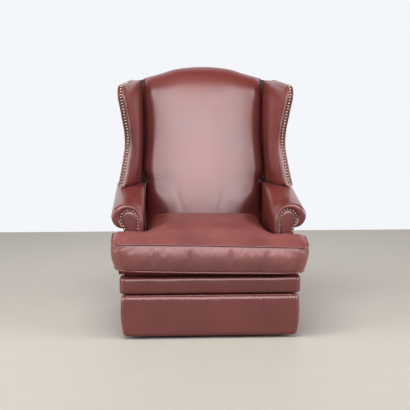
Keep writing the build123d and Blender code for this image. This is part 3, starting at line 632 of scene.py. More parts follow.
deckCloth = newMaterial("deckCloth", clothTree, {}, (0.3, 0.0005))
bandWebbing = newMaterial("bandWebbing", clothTree,
                          {"Warp": (0.05, 0.05, 0.05, 1), "Weft": (0.3, 0.28, 0.24, 1),
                           "Thread Scale": 260.0}, (0.4, 0.001))
glidePlastic = newMaterial("glidePlastic", clothTree,
                           {"Warp": (0.02, 0.02, 0.02, 1), "Weft": (0.025, 0.025, 0.025, 1),
                            "Thread Scale": 90.0}, (0.05, 0.0003))
print("materials made")


def paint(piece, material):
    piece.data.materials.clear()
    piece.data.materials.append(material)


def dress(piece, body, material, replaced=()):
    # Finishes a piece: its material, the body it rides on and the nodes it stands for
    paint(piece, material)
    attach(piece, body)
    if replaced:
        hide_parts(*replaced)


def dressPair(right, body, material, node=None):
    # Mirrors a piece of the right side and finishes both
    left = mirrorPiece(right, right.name.replace("Right", "Left"))
    for piece, side in ((right, "right"), (left, "left")):
        dress(piece, body, material, [f"{node}_{side}"] if node else ())
    return right, left


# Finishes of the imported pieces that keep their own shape
sideFinishes = {
    "side_board": frameWood, "arm_top_rail": frameWood, "arm_front_post": postWood,
    "arm_rear_post": postWood, "back_post": postWood, "wing_frame": postWood,
    "linkage_plate": platedSteel, "recline_bracket": platedSteel, "hinge_plate": platedSteel,
    "drive_link": platedSteel, "rocker_link": platedSteel, "reach_link": platedSteel,
    "control_link": platedSteel, "footrest_bracket": platedSteel,
}
singleFinishes = {
    "front_rail": crossWood, "seat_rear_rail": crossWood, "lower_rear_rail": crossWood,
    "corner_blocks": crossWood, "back_bottom_rail": crossWood, "back_mid_rail": crossWood,
    "crest_rail": crossWood, "footrest_board": crossWood, "floor_glides": glidePlastic,
    "seat_springs": springSteel, "back_webbing": bandWebbing, "torque_tube": platedSteel,
}
for name, material in sideFinishes.items():
    for side in ("left", "right"):
        paint(frame["nodes"][f"{name}_{side}"], material)
for name, material in singleFinishes.items():
    paint(frame["nodes"][name], material)

# Wings: padded inner faces that roll over the front and top edges
wing = {
    "foot": 0.588, "height": 0.476, "clearArc": 0.3530, "nose": -0.008, "waist": 0.036,
    "padDepth": 0.0275, "coverDepth": -0.025, "border": 0.038, "puff": 0.008,
    "rollReach": 0.070, "rollFall": 0.025, "footRound": 0.003, "easeRounds": 70,
    "cover": 0.008, "coverGap": 0.0003, "coverEdge": 0.004, "coverSwell": 0.0015,
    "bendHeights": (0.59, 0.62, 0.666, 0.71, 0.754, 0.80, 0.843, 0.887, 0.935, 0.974, 1.02, 1.064),
    "bendOut": (0.008, 0.003, -0.0035, -0.0085, -0.0135, -0.015, -0.014, -0.008, -0.0035, 0.002,
                0.007, 0.008),
    "bendDepth": 0.24, "spread": 0.020, "spreadFrom": 0.78, "spreadRise": 0.28,
    "piping": 0.0016, "pipingInset": 0.011, "pipingEnd": 0.10, "pipingRear": 0.236,
}


def topSpread(y, z):
    # The wings stand a little further apart towards the rear of their tops
    rise = np.clip((z - wing["spreadFrom"]) / wing["spreadRise"], 0, 1)
    return wing["spread"] * rise ** 1.2 * smoothStep(y, 0.08, 0.30)


def wingInnerX(y, z):
    return wingFoot - y * math.tan(splay) + topSpread(y, z)


def wingRear(z, depthIn):
    # Where the wing ends against the back, at a depth in front of the back's own plane
    y = pivot[1] + (z - pivot[2]) * math.tan(lean) - depthIn / math.cos(lean)
    return y / math.cos(splay)


def clearHeight(along):
    # The wing's lower edge stays outside this arc round the shaft, to pass the arm as it turns
    behind = max(0.0, along * math.cos(splay) - pivot[1])
    return pivot[2] + math.sqrt(wing["clearArc"] ** 2 - behind ** 2)


def bendWing(points):
    # Curls the wing's front edge outwards at its foot and top and inwards at its waist
    drift = np.interp(points[:, 2], wing["bendHeights"], wing["bendOut"])
    fade = 1 - smoothStep(points[:, 1] / math.cos(splay), 0.03, wing["bendDepth"])
    bent = points.copy()
    bent[:, 0] += np.sign(points[:, 0]) * (drift * fade + topSpread(points[:, 1], points[:, 2]))
    return bent


def wingOutline(depthIn):
    # The whole outline, and the free front and top edge alone
    foot, top = wing["foot"], wing["foot"] + wing["height"]
    front = smoothLine([
        (wing["nose"], foot), (0.016, foot + 0.085), (wing["waist"], foot + 0.39 * wing["height"]),
        (0.018, foot + 0.6 * wing["height"]), (wing["nose"], foot + 0.812 * wing["height"]),
        (-0.004, foot + 0.875 * wing["height"]), (0.012, top - 0.034),
        (0.045, top - 0.024), (0.13, top - 0.013), (0.25, top - 0.003), (0.34, top),
    ])
    rear = []
    for z in np.linspace(top, foot - 0.02, 60):
        along = wingRear(z, depthIn)
        if z > clearHeight(along):
            rear.append((along, z))
    arc = [(along, clearHeight(along))
           for along in np.arange(rear[-1][0] - 0.002, front[0][0] + 0.004, -0.006)]
    front = front[front[:, 0] < rear[0][0] - 0.004]
    return evenLine(np.vstack([front, rear, arc]), 0.006, closed=True), front


def wingFace(free):
    def height(along, z):
        edge = distanceTo(free, np.stack([along, z], axis=1), closed=False)
        overFoot = z - wing["foot"]
        fall = rounding(edge / wing["rollReach"], 1.0) * wing["rollFall"]
        fall = np.maximum(fall, rounding(np.maximum(overFoot, 0), wing["footRound"]) * (along < 0.2))
        toRear = wingRear(z, 0.027) - along
        puff = wing["puff"] * smoothStep(edge, 0.0, 0.09) * smoothStep(overFoot, 0, 0.06) \
            * smoothStep(toRear, 0.05, 0.16)
        sway = 0.0012 * waveField(along, z, 0.16, 3) * smoothStep(edge, 0.01, 0.05) \
            * smoothStep(toRear, 0.03, 0.1)
        return wing["border"] - fall + puff + sway
    return height


padEdge, wingFree = wingOutline(wing["padDepth"])
wingPad = raisePanel("wingPadRight", padEdge, wingFace(wingFree),
                     lambda along, z, height: placeWing(along, z, wing["border"] - height), 0.007,
                     (0.0005, 0.0014, 0.003, 0.005, 0.0078, 0.011, 0.015, 0.020, 0.026), sharpness=60)
writePoints(wingPad, bendWing(readPoints(wingPad)))
points = readPoints(wingPad)
along = points[:, 1] * math.cos(splay) - (points[:, 0] - wingFoot) * math.sin(splay)
fromEdge = distanceTo(wingFree, np.column_stack([along, points[:, 2]]), closed=False)
weighGroup(wingPad, "softer", smoothStep(fromEdge, 0.004, 0.016))
ease = wingPad.modifiers.new("ease", "SMOOTH")
ease.factor = 0.5
ease.iterations = wing["easeRounds"]
ease.vertex_group = "softer"
bakeModifiers(wingPad)
wingPads = dressPair(wingPad, "reclining_back", wingLeatherPaintedLight, "wing_pad")
coverEdge = wingOutline(wing["coverDepth"])[0]


def coverFace(along, z):
    edge = distanceTo(coverEdge, np.stack([along, z], axis=1))
    swell = wing["coverSwell"] * smoothStep(edge, 0.0, 0.05)
    return wing["cover"] - rounding(edge, wing["coverEdge"]) + swell \
        + 0.0005 * waveField(along, z, 0.2, 5)


def placeCover(along, z, height):
    return placeWing(along, z, wing["border"] + wing["coverGap"] + height)


outsideWing = raisePanel("outsideWingRight", coverEdge, coverFace, placeCover, 0.012,
                         (0.0007, 0.0018, 0.004, 0.009))
writePoints(outsideWing, bendWing(readPoints(outsideWing)))
outsideWings = dressPair(outsideWing, "reclining_back", panelLeather,
                         "outside_wing")

# Copies of the two wing frames, bent with their pads so that no wood shows through the leather
for side in ("left", "right"):
    bentFrame = frame["nodes"][f"wing_frame_{side}"].copy()
    bentFrame.data = bentFrame.data.copy()
    bentFrame.name = f"wingFrame{side.title()}"
    scene.collection.objects.link(bentFrame)
    bentFrame.parent = None
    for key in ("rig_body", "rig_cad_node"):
        del bentFrame[key]
    points = readPoints(bentFrame)
    points[:, 1] += 0.007 * (1 - smoothStep(points[:, 1], 0.02, 0.12))
    writePoints(bentFrame, bendWing(points))
    dress(bentFrame, "reclining_back", postWood, [f"wing_frame_{side}"])

# Piping along the foot and the front of each wing's inner face
inset = wingFree[(wingFree[:, 1] > wing["foot"] + 0.004) & (wingFree[:, 0] < wing["pipingEnd"])]
tangents = lineWays(inset)
inset = inset + np.column_stack([tangents[:, 1], -tangents[:, 0]]) * wing["pipingInset"]
footRun = np.array([(along, wing["foot"] + 0.0035)
                    for along in np.arange(wing["pipingRear"], inset[0, 0], -0.006)])
runs = evenLine(np.vstack([footRun, inset[inset[:, 1] > wing["foot"] + 0.008]]), 0.005)
lifted = wingFace(wingFree)(runs[:, 0], runs[:, 1])
path = bendWing(placeWing(runs[:, 0], runs[:, 1], wing["border"] - lifted - 0.0004))
wingPiping = pipeAlong("wingPipingRight", path, wing["piping"])
dressPair(wingPiping, "reclining_back", weltLeather)
print("wings made")

# Back pad: crowned front, rounded sides, and a roll over the camel crest
back = {
    "bottom": 0.014, "rollHeight": 0.095, "rearRoll": 0.024, "rollTop": 0.006, "rear": -0.037,
    "seat": 0.0272, "endRound": 0.022, "footRound": 0.03, "columns": 150, "rows": 120,
    "rollRows": 26, "rearRows": 12, "bunching": 0.93,
    "armReach": ((0, 0.30, 0.35, 0.40, 0.6, 0.85), (0.2735, 0.2735, 0.2745, 0.290, 0.30, 0.30)),
    "cloth": {"tension": 15, "bending": 6, "spare": 0.0, "pressure": 2.5, "cap": 0.006},
    # Faint drags in the leather: depth, place across, slant, height and reach
    "drags": [(0.0009, -0.10, 0.3, 0.25, 0.07), (0.0007, 0.07, -0.25, 0.24, 0.06)],
    "dragWidth": 0.014, "dragFoot": 0.2,
}
# Thickness at the sides and at the middle, and how softly one turns into the other, up the back
sideLine = smoothLine([(0, 0.078), (0.12, 0.087), (0.33, 0.0915), (0.6, 0.088), (0.8, 0.082),
                       (0.92, 0.077)])
middleLine = smoothLine([(0, 0.096), (0.12, 0.1085), (0.33, 0.1195), (0.6, 0.117), (0.8, 0.108),
                         (0.92, 0.099)])
softLine = smoothLine([(0, 1.0), (0.12, 0.93), (0.19, 0.64), (0.25, 0.34), (0.31, 0.20), (0.38, 0.18),
                       (0.48, 0.24), (0.60, 0.29), (0.70, 0.26), (0.79, 0.16), (0.88, 0.10)])


def crestHeight(x):
    share = np.clip(np.abs(x) / crestReach, 0, 1)
    line = smoothLine([(-0.42, 0.16), (0, 0), (0.42, 0.16), (0.68, 0.54), (0.85, 0.78), (1, 1),
                       (1.2, 1.1)], 24)
    line = line[(line[:, 0] >= -0.01) & (line[:, 0] <= 1.1)]
    return crestPeak - crestDrop * np.interp(share, line[:, 0], line[:, 1])


def backReach(up, height):
    # Half width of the back pad, held in by the arms below and by the wings above
    arms = np.interp(up, *back["armReach"])
    y = pivot[1] + up * math.sin(lean) - np.maximum(height, 0.027) * math.cos(lean)
    z = pivot[2] + up * math.cos(lean) + np.maximum(height, 0.027) * math.sin(lean)
    reach = np.minimum(arms, wingInnerX(y, z) - 0.0008)
    low = back["footRound"]
    drop = np.clip(low - (up - back["bottom"]), 0, low)
    reach = reach - (low - np.sqrt(low ** 2 - drop ** 2)) * 0.4
    behind = smoothStep(0.027 - height, 0.0, 0.012) * (up > 0.5)
    return reach + (crestReach - reach) * behind


def backDepth(u, up):
    edge = np.interp(up, sideLine[:, 0], sideLine[:, 1])
    crown = np.interp(up, middleLine[:, 0], middleLine[:, 1])
    full = edge + (crown - edge) * (1 - u ** 2)
    soft = np.interp(up, softLine[:, 0], softLine[:, 1])
    inside = np.clip((1 - np.abs(u)) / soft, 0, 1)
    side = (1 - (1 - inside) ** 2.5) ** 0.55
    low = np.clip((up - back["bottom"]) / 0.09, 0, 1)
    foot = 0.25 + 0.75 * (1 - (1 - low) ** 2.2) ** 0.5
    return back["seat"] + (full - back["seat"]) * side * foot


def backProfile(u):
    # One vertical line of the back pad, from its foot over the crest to the rear
    bottom, rollTop, rearRoll = back["bottom"], back["rollTop"], back["rearRoll"]
    seated = back["seat"] - 0.0004
    reach = crestReach * np.abs(u)
    end = np.clip((reach - (crestReach - back["endRound"])) / back["endRound"], 0, 1)
    top = crestHeight(u * crestReach) - back["endRound"] * 0.5 * (1 - math.sqrt(1 - end ** 2))
    rise = back["rollHeight"] + 0.7 * (top - crestPeak + crestDrop)
    start = top - rise
    rows = []
    for share in np.linspace(0, 1, back["rows"]):
        up = bottom + (start - bottom) * share
        rows.append((up, float(backDepth(u, up))))
    face = rows[-1][1]
    for angle in np.linspace(0, math.pi / 2, back["rollRows"])[1:]:
        rows.append((start + rise * math.sin(angle) ** 0.92,
                     rollTop + (face - rollTop) * math.cos(angle) ** 0.9))
    for angle in np.linspace(math.pi / 2, math.pi, back["rearRows"])[1:]:
        rows.append((top - rearRoll * (1 - math.sin(angle)),
                     rollTop + (rollTop - back["rear"]) * math.cos(angle)))
    rows += [(top - rearRoll - 0.002, back["seat"] - 0.03), (top - rearRoll - 0.004, seated),
             (0.5, seated), (bottom, seated)]
    return np.array(rows)


def backLocal(points):
    # Across, up the back and out from it, for points of the room
    y, z = points[:, 1] - pivot[1], points[:, 2] - pivot[2]
    sine, cosine = math.sin(lean), math.cos(lean)
    return points[:, 0], y * sine + z * cosine, z * sine - y * cosine


turns = np.linspace(-math.pi / 2, math.pi / 2, back["columns"]) * back["bunching"]
columns = []
for u in np.sin(turns) / math.sin(math.pi / 2 * back["bunching"]):
    profile = backProfile(u)
    reach = backReach(profile[:, 0], profile[:, 1])
    columns.append(placeBack(u * reach, profile[:, 0], profile[:, 1]))
backPad = newTube("backPad", columns, 70)
x, up, out = backLocal(readPoints(backPad))
held = 1 - smoothStep(out, 0.030, 0.075) * smoothStep(0.27 - np.abs(x), 0.0, 0.05) \
    * smoothStep(up, 0.03, 0.12)
puffUp(backPad, np.maximum(held, smoothStep(up, 0.78, 0.86)), back["cloth"])

# Slight waves over the face, and the drags that run up from the seat
points = readPoints(backPad)
x, up, out = backLocal(points)
sway = 0.0005 * waveField(x * 1.6, up * 0.6, 0.3, 11) + 0.0001 * waveField(x, up, 0.09, 12)
pull = np.zeros(len(x))
for depth, place, slant, height, reach in back["drags"]:
    across = x - place + (up - back["dragFoot"]) * slant
    pull -= depth * np.exp(-(across / back["dragWidth"]) ** 2) * np.exp(-((up - height) / reach) ** 2)
shift = (sway + pull) * smoothStep(out, 0.06, 0.09)
writePoints(backPad, points + readNormals(backPad) * shift[:, None])
dress(backPad, "reclining_back", padLeather, ["back_pad"])

# Leather painted near black as shade, closing the gaps beside the back pad, behind the arms and under
# the wings
filler = {
    "flank": [(0.2625, -0.0365), (0.2625, 0.026), (0.2700, 0.0268), (0.2752, 0.020), (0.2755, -0.022),
              (0.2712, -0.0345)],
    "flankLow": 0.075, "flankHigh": 0.374, "flankRows": 30,
    "sill": [(0.263, -0.036), (0.263, 0.024), (0.286, 0.024), (0.312, -0.010), (0.316, -0.036)],
    "sillArc": 0.3545, "sillLifts": (0.0, 0.004, 0.020, 0.040),
    "gusset": (0.268, 0.303, 0.375, 0.846), "gussetFace": 0.0264, "gussetRear": -0.0604,
}
flankLine, sillLine = np.array(filler["flank"]), np.array(filler["sill"])
gussetEdge = roundedBox(*filler["gusset"], (0.003,) * 4, 0.01)
for side, way in (("Left", -1), ("Right", 1)):
    rows = [placeBack(way * flankLine[:, 0], np.full(len(flankLine), up), flankLine[:, 1])
            for up in np.linspace(filler["flankLow"], filler["flankHigh"], filler["flankRows"])]
    flank = newTube(f"backFlank{side}", rows, 60)
    base = np.sqrt(filler["sillArc"] ** 2 - sillLine[:, 1] ** 2)
    rows = [placeBack(way * sillLine[:, 0], base + lift, sillLine[:, 1])
            for lift in filler["sillLifts"]]
    sill = newTube(f"wingSill{side}", rows, 60)
    gusset = raisePanel(f"wingGusset{side}", gussetEdge, thinFace(gussetEdge, 0.0026, 0.0015),
                        lambda x, up, height: placeBack(way * x, up, height + filler["gussetFace"]),
                        0.012, (0.0006, 0.0015), base=filler["gussetRear"])
    for piece in (flank, sill, gusset):
        dress(piece, "reclining_back", paintedShadeLeather)
print("back pad made")

# Arm pads: soft rolls over the arm rails that end in the scrolls
arm = {
    "foot": 0.2502, "middle": 0.356, "rollRound": 0.080, "rollHeight": 0.464, "scrollRound": 0.052,
    "scrollHeight": 0.492, "outer": 0.3425, "rail": 0.3178, "puff": 0.0015, "columns": 78,
    "rest": 0.205, "arc": 0.350, "shoulderStart": -0.215, "shoulderEnd": -0.010, "shoulderPower": 7.0,
    "shoulderHeight": 0.5, "squarePower": 10, "softBend": 0.002, "swellFrom": 25, "flatAbove": 0.578,
    "endFace": 0.2853, "endCover": 0.003,
}


def armSection(y):
    # The roll's outline at a depth: round at the scroll, squared up where the wing stands on it
    lift = (y - armFront) * armRise
    top = pivot[2] + math.sqrt(arm["arc"] ** 2 - max(0.0, y - arm["rest"]) ** 2)
    square = float(smoothStep(y, arm["shoulderStart"], arm["shoulderEnd"]))
    seated = float(smoothStep(y, -0.01, 0.06))
    power = 2 + (arm["shoulderPower"] - 2) * square + arm["squarePower"] * seated
    low = arm["rollHeight"] + lift * (1 - square) + (arm["shoulderHeight"] - arm["rollHeight"]) * square
    high = min(scrollTop + lift, top)
    angles = np.linspace(math.pi, math.pi / 2, 34)
    inner = np.column_stack([arm["middle"] - arm["rollRound"] * np.abs(np.cos(angles)) ** (2 / power),
                             low + (high - low) * np.sin(angles) ** (2 / power)])
    scroll = arcLine((arm["middle"], arm["scrollHeight"] + lift), arm["scrollRound"], 90, -90, 30)[1:]
    scroll, bend = np.array(scroll), arm["softBend"]
    if scrollTop + lift > top - bend:
        # Under the wing the roll's top is held down, with a soft bend at the edge
        under = np.clip((high - scroll[:, 1]) / bend, -50, 50)
        scroll[:, 1] = high - np.log1p(np.exp(under)) * bend + bend * math.log(2)
    face = np.vstack([[(armInner, arm["foot"]), (armInner, 0.33), (armInner, 0.40)], inner, scroll])
    travel = lineTravel(face)
    face = pointsAlong(face, travel, np.linspace(0, travel[-1], arm["columns"]))
    outer, rail = arm["outer"], arm["rail"]
    hidden = np.array([(outer, 0.4402 + lift), (outer, 0.4638 + lift), (rail, 0.4638 + lift),
                       (rail, 0.40), (rail, 0.33), (rail, arm["foot"])])
    return np.vstack([face, hidden])


stations = np.concatenate([[armFront, armFront + 0.001, armFront + 0.003],
                           np.arange(armFront + 0.008, 0.28, 0.008), [0.281, 0.2835, armRear]])
rows = []
for y in stations:
    section = armSection(float(y))
    places = np.arange(len(section))
    inset = 0.0015 * rounding(np.array([y - armFront]), 0.003)[0] / 0.003
    inset += 0.002 * rounding(np.array([armRear - y]), 0.004)[0] / 0.004
    ends = smoothStep(y - armFront, 0.0, 0.06) * smoothStep(armRear - y, 0.0, 0.05)
    tangents = lineWays(section, closed=True)
    outward = np.stack([-tangents[:, 1], tangents[:, 0]], axis=1)
    around = np.clip((places - arm["swellFrom"]) / (arm["columns"] - arm["swellFrom"]), 0, 1)
    swell = arm["puff"] * np.sin(around * math.pi) * ends
    swell += 0.0005 * (waveField(places * 0.006, np.full(len(section), y * 0.8), 0.13, 21) - 1) * ends
    swell[arm["columns"] - 3:] = 0
    swell[0:2] = 0
    swell = np.where(section[:, 1] > arm["flatAbove"], np.minimum(swell, 0), swell)
    section += outward * (swell - inset)[:, None]
    rows.append(np.stack([section[:, 0], np.full(len(section), y), section[:, 1]], axis=1))
armPad = newTube("armPadRight", rows, 60, turned=True)
for piece in dressPair(armPad, "base", padLeather, "arm_pad"):
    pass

# Leather over the rear ends of the arms
endEdge = evenLine([(0.3183, 0.2006), (0.3183, 0.2505), (0.2763, 0.2505), (0.2763, 0.5765),
                    (0.2775, 0.5776), (0.351, 0.5776), (0.3545, 0.574), (0.3545, 0.2006)],
                   0.006, closed=True)
for side, way in (("Right", 1), ("Left", -1)):
    armEnd = raisePanel(f"armEnd{side}", endEdge, thinFace(endEdge, arm["endCover"], 0.002),
                        lambda x, z, height: np.stack([way * x, arm["endFace"] + height, z], axis=1),
                        0.012, (0.0006, 0.0015, 0.004))
    dress(armEnd, "base", panelLeather)
print("arm pads made")

# Arm facings: a rolled border, a row of nails and a raised panel inside it
facing = {"edge": 0.010, "nailBed": 0.0065, "roll": 0.85, "panel": 0.0085, "panelRise": 0.005}
facingOuter = [(armInner, arm["foot"]), (armInner, arm["rollHeight"])] \
    + arcLine((arm["middle"], arm["rollHeight"]), arm["rollRound"], 180, 90, 22)[1:] \
    + arcLine((arm["middle"], arm["scrollHeight"]), arm["scrollRound"], 90, -90, 30)[1:] \
    + [(arm["middle"], 0.43), (arm["middle"], arm["foot"])]
facingNails = [(0.299, arm["foot"]), (0.299, 0.483)] \
    + arcLine((0.3345, 0.483), 0.0355, 180, 0, 22)[1:] \
    + [(0.3685, 0.474), (0.364, 0.462), (0.358, 0.452), (0.3535, 0.440), (0.351, 0.424), (0.3505, 0.40),
       (0.3505, arm["foot"])]
facingEdge = evenLine(facingOuter, 0.004, closed=True)
rollEdge = evenLine(facingOuter[:-2], 0.003)
nailLine = evenLine(facingNails, 0.0035)


def facingFace(x, z):
    points = np.stack([x, z], axis=1)
    fromEdge = distanceTo(rollEdge, points, closed=False)
    fromNails = distanceTo(nailLine, points, closed=False)
    share = fromEdge / np.maximum(fromEdge + fromNails, 1e-6)
    border = facing["edge"] + (facing["nailBed"] - facing["edge"]) * share \
        + facing["roll"] * np.sqrt(np.maximum(fromEdge * fromNails, 0))
    panel = facing["nailBed"] + facing["panel"] * (1 - np.exp(-fromNails / facing["panelRise"])) \
        + 0.0006 * waveField(x, z, 0.09, 31)
    outer = (x > 0.3512) & (z < 0.445)
    border = np.where(outer, facing["nailBed"] - rounding(arm["middle"] - x, 0.003), border)
    return np.where(insideOf(nailLine, points), panel, border)


armFacing = raisePanel("armFacingRight", facingEdge, facingFace, placeFront(armFront - 0.0002), 0.0045,
                       (0.0006, 0.0016, 0.0032, 0.0055, 0.009), creases=[nailLine[1:-1]], sharpness=75)
for piece in dressPair(armFacing, "base", panelLeather, "arm_facing"):
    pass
print("arm facings made")

# Upholstered panels: outside arms, rear panel and outside back, drawn over thin padding
cover = {
    "arm": 0.013, "rear": 0.0108, "back": 0.007, "edge": 0.005, "backEdge": 0.004, "swell": 0.0015,
    "backSwell": 0.002, "spacing": 0.014, "rows": (0.0008, 0.002, 0.0045, 0.009),
    "backRows": (0.0008, 0.002, 0.004, 0.009), "armFace": 0.3421, "rearFace": 0.2731, "backFace": 0.0372,
    "armCorner": 0.040, "step": 0.362,
}


def panelFace(outline, thickness, edge, swell, seed):
    def height(a, b):
        gap = distanceTo(outline, np.stack([a, b], axis=1))
        return thickness - rounding(gap, edge) + swell * smoothStep(gap, 0.0, 0.12) \
            + 0.0005 * waveField(a, b, 0.3, seed) * smoothStep(gap, 0.0, 0.05)
    return height


armCoverEdge = evenLine(arcLine((-0.305, 0.060), cover["armCorner"], 180, 270, 8)
                        + [(armRear, 0.020), (armRear, 0.440 + armRise * (armRear - armFront)),
                           (armFront, 0.4405), (armFront, 0.250), (-0.345, 0.250)], 0.008, closed=True)
armCover = raisePanel("outsideArmRight", armCoverEdge,
                      panelFace(armCoverEdge, cover["arm"], cover["edge"], cover["swell"], 41),
                      placeSide(cover["armFace"]), cover["spacing"], cover["rows"])
armCovers = dressPair(armCover, "base", panelLeather, "outside_arm")
rearEdge = roundedBox(-0.342, 0.342, 0.020, 0.200, (0.003,) * 4, 0.008)
rearPanel = raisePanel("rearPanel", rearEdge,
                       panelFace(rearEdge, cover["rear"], cover["edge"], cover["swell"], 42),
                       placeRear(cover["rearFace"]), cover["spacing"], cover["rows"])
dress(rearPanel, "base", panelLeather, ["rear_panel"])
crestLine = [(x, float(crestHeight(x)) - 0.024) for x in np.linspace(-0.300, 0.300, 40)]
flankRight = [(0.264, -0.038), (0.264, cover["step"]), (0.320, cover["step"] + 0.012), (0.302, 0.60),
              (0.304, 0.72), (0.309, 0.80), (0.309, 0.825)]
flankLeft = [(-x, up) for x, up in flankRight[::-1]]
backEdge = evenLine(flankLeft[-1:] + flankRight + crestLine[::-1] + flankLeft[:-1], 0.008, closed=True)
outsideBack = raisePanel("outsideBack", backEdge,
                         panelFace(backEdge, cover["back"], cover["backEdge"], cover["backSwell"], 43),
                         lambda x, up, height: placeBackRear(x, up, height + cover["backFace"]),
                         cover["spacing"], cover["backRows"])
dress(outsideBack, "reclining_back", panelLeather, ["outside_back"])
print("outside panels made")

# Front band: a long padded roll across the front rail
band = {
    "half": 0.3720, "low": 0.1870, "high": 0.2570, "face": -0.3452, "depth": 0.065, "ends": 0.026,
    "top": 0.013, "foot": 0.014, "crown": 0.002, "least": 0.028,
}
softRows = (0.0006, 0.0014, 0.0026, 0.0042, 0.0065, 0.0095, 0.0135, 0.018)


def bandFace(x, z):
    low, high = band["low"], band["high"]
    fall = rounding(band["half"] - np.abs(x), band["ends"]) + rounding(high - z, band["top"]) \
        + rounding(z - low, band["foot"])
    middle = np.sin(np.clip((z - low) / (high - low), 0, 1) * math.pi)
    full = band["depth"] + band["crown"] * middle + 0.0008 * waveField(x, z, 0.12, 51) * middle
    return np.maximum(full - fall, band["least"])


bandEdge = roundedBox(-band["half"], band["half"], band["low"], band["high"],
                      (0.016, 0.016, 0.010, 0.010), 0.004)
frontBand = raisePanel("frontBand", bandEdge, bandFace, placeFront(band["face"]), 0.006, softRows)
dress(frontBand, "base", bandLeatherPaintedShade, ["front_band"])

# Footrest panel: a flat padded front with small pleats drawn in under its top welt
footPanel = {
    "half": 0.3560, "low": 0.0105, "high": 0.1800, "face": -0.3732, "depth": 0.0415, "least": 0.006,
    "sideBulge": 0.013, "round": 0.020, "lowRound": 0.016, "topRound": 0.017, "topFall": 0.010,
    "bulge": 0.0018, "wave": 0.0010, "pleat": 0.021, "pleatDepth": 0.0021, "pleatReach": 0.018,
    "pleatWidth": 0.0045, "welt": 0.003, "weltDepth": -0.4035, "weltHeight": 0.1798, "weltHalf": 0.358,
}
pleatSource = np.random.default_rng(61)
pleatPlaces = np.cumsum(pleatSource.uniform(0.65, 1.35, 40) * footPanel["pleat"]) - 0.40


def footRise(z):
    # 0 at the panel's lower edge, 1 at its upper one
    return np.clip((z - footPanel["low"]) / (footPanel["high"] - footPanel["low"]), 0, 1)


def sideSwell(rise):
    low = np.sin(np.clip(rise / 0.6, 0, 1) * math.pi / 2) ** 0.8
    return footPanel["sideBulge"] * (low - 0.35 * np.clip((rise - 0.6) / 0.4, 0, 1) ** 2)


def footFace(x, z):
    down = footPanel["high"] - z
    fromEnd = footPanel["half"] + sideSwell(footRise(z)) - np.abs(x)
    fall = rounding(fromEnd, footPanel["round"]) \
        + rounding(z - footPanel["low"], footPanel["lowRound"]) \
        + rounding(down / footPanel["topRound"], 1.0) * footPanel["topFall"]
    fold = np.zeros(len(x))
    for number, spot in enumerate(pleatPlaces):
        # Each pleat has its own length, slant and strength
        reach = footPanel["pleatReach"] * (0.6 + 0.8 * ((number * 7) % 5) / 5)
        slant = 0.10 * math.sin(number * 2.3)
        across = np.exp(-((x - spot - slant * down) / footPanel["pleatWidth"]) ** 2)
        fold += (0.5 + 0.5 * ((number * 5) % 7) / 6) * across * np.exp(-(down / reach) ** 2)
    bulge = footPanel["bulge"] * smoothStep(fromEnd, 0.0, 0.15) \
        * np.sin(np.clip((z - footPanel["low"]) / 0.167, 0, 1) * math.pi)
    wave = footPanel["wave"] * waveField(x, z, 0.16, 62) * smoothStep(fromEnd, 0, 0.05)
    return np.maximum(footPanel["depth"] - fall + bulge - footPanel["pleatDepth"] * fold + wave,
                      footPanel["least"])


footEdge = roundedBox(-footPanel["half"], footPanel["half"], footPanel["low"], footPanel["high"],
                      (0.017, 0.017, 0.006, 0.006), 0.004)
footEdge[:, 0] += np.sign(footEdge[:, 0]) * sideSwell(footRise(footEdge[:, 1])) \
    * smoothStep(np.abs(footEdge[:, 0]), 0.30, 0.355)
footPad = raisePanel("footrestPad", footEdge, footFace, placeFront(footPanel["face"]), 0.0055, softRows)
dress(footPad, "footrest", panelLeather, ["footrest_pad"])

# Leather over the ends of the footrest's board
boardRing = roundedBox(-0.3733, -0.3545, 0.0272, 0.1608, (0.002,) * 4, 0.005)
boardEdge = raisePanel("boardEdgeRight", boardRing, thinFace(boardRing, 0.002, 0.0012),
                       placeSide(0.3401), 0.008, (0.0005, 0.0012))
dressPair(boardEdge, "footrest", panelLeather)

# Welt along the panel's upper edge
half = footPanel["weltHalf"]
weltPath = np.array([(x, footPanel["weltDepth"] + 0.006 * (max(0, abs(x) - 0.335) / 0.02) ** 2,
                      footPanel["weltHeight"]) for x in np.linspace(-half, half, 160)])
footWelt = pipeAlong("footrestWelt", weltPath, footPanel["welt"])
dress(footWelt, "footrest", weltLeather, ["footrest_welt"])
print("front band and footrest panel made")

# Leather over the front ends of the side boards
endRing = roundedBox(0.3183, 0.3555, 0.0215, 0.1825, (0.003,) * 4, 0.006)
boardEnd = raisePanel("boardEndRight", endRing, thinFace(endRing, 0.002, 0.0012),
                      placeFront(band["face"]), 0.008, (0.0005, 0.0012))
dressPair(boardEnd, "base", panelLeather)

# Deck cloth under the cushion
deck = {
    "half": 0.272, "front": -0.369, "rear": 0.084, "level": 0.2542, "thickness": 0.0055, "sag": 0.0015,
}


def deckFace(x, y):
    hollow = np.exp(-((x / 0.2) ** 2 + ((y + 0.14) / 0.15) ** 2))
    return deck["thickness"] - deck["sag"] * hollow + 0.0003 * waveField(x, y, 0.07, 71)


deckEdge = roundedBox(-deck["half"], deck["half"], deck["front"], deck["rear"], (0.006,) * 4, 0.01)
seatDeck = raisePanel("seatDeck", deckEdge, deckFace,
                      lambda x, y, height: np.stack([x, y, deck["level"] + height], axis=1), 0.012,
                      (0.001, 0.004))
dress(seatDeck, "base", deckCloth, ["seat_deck"])

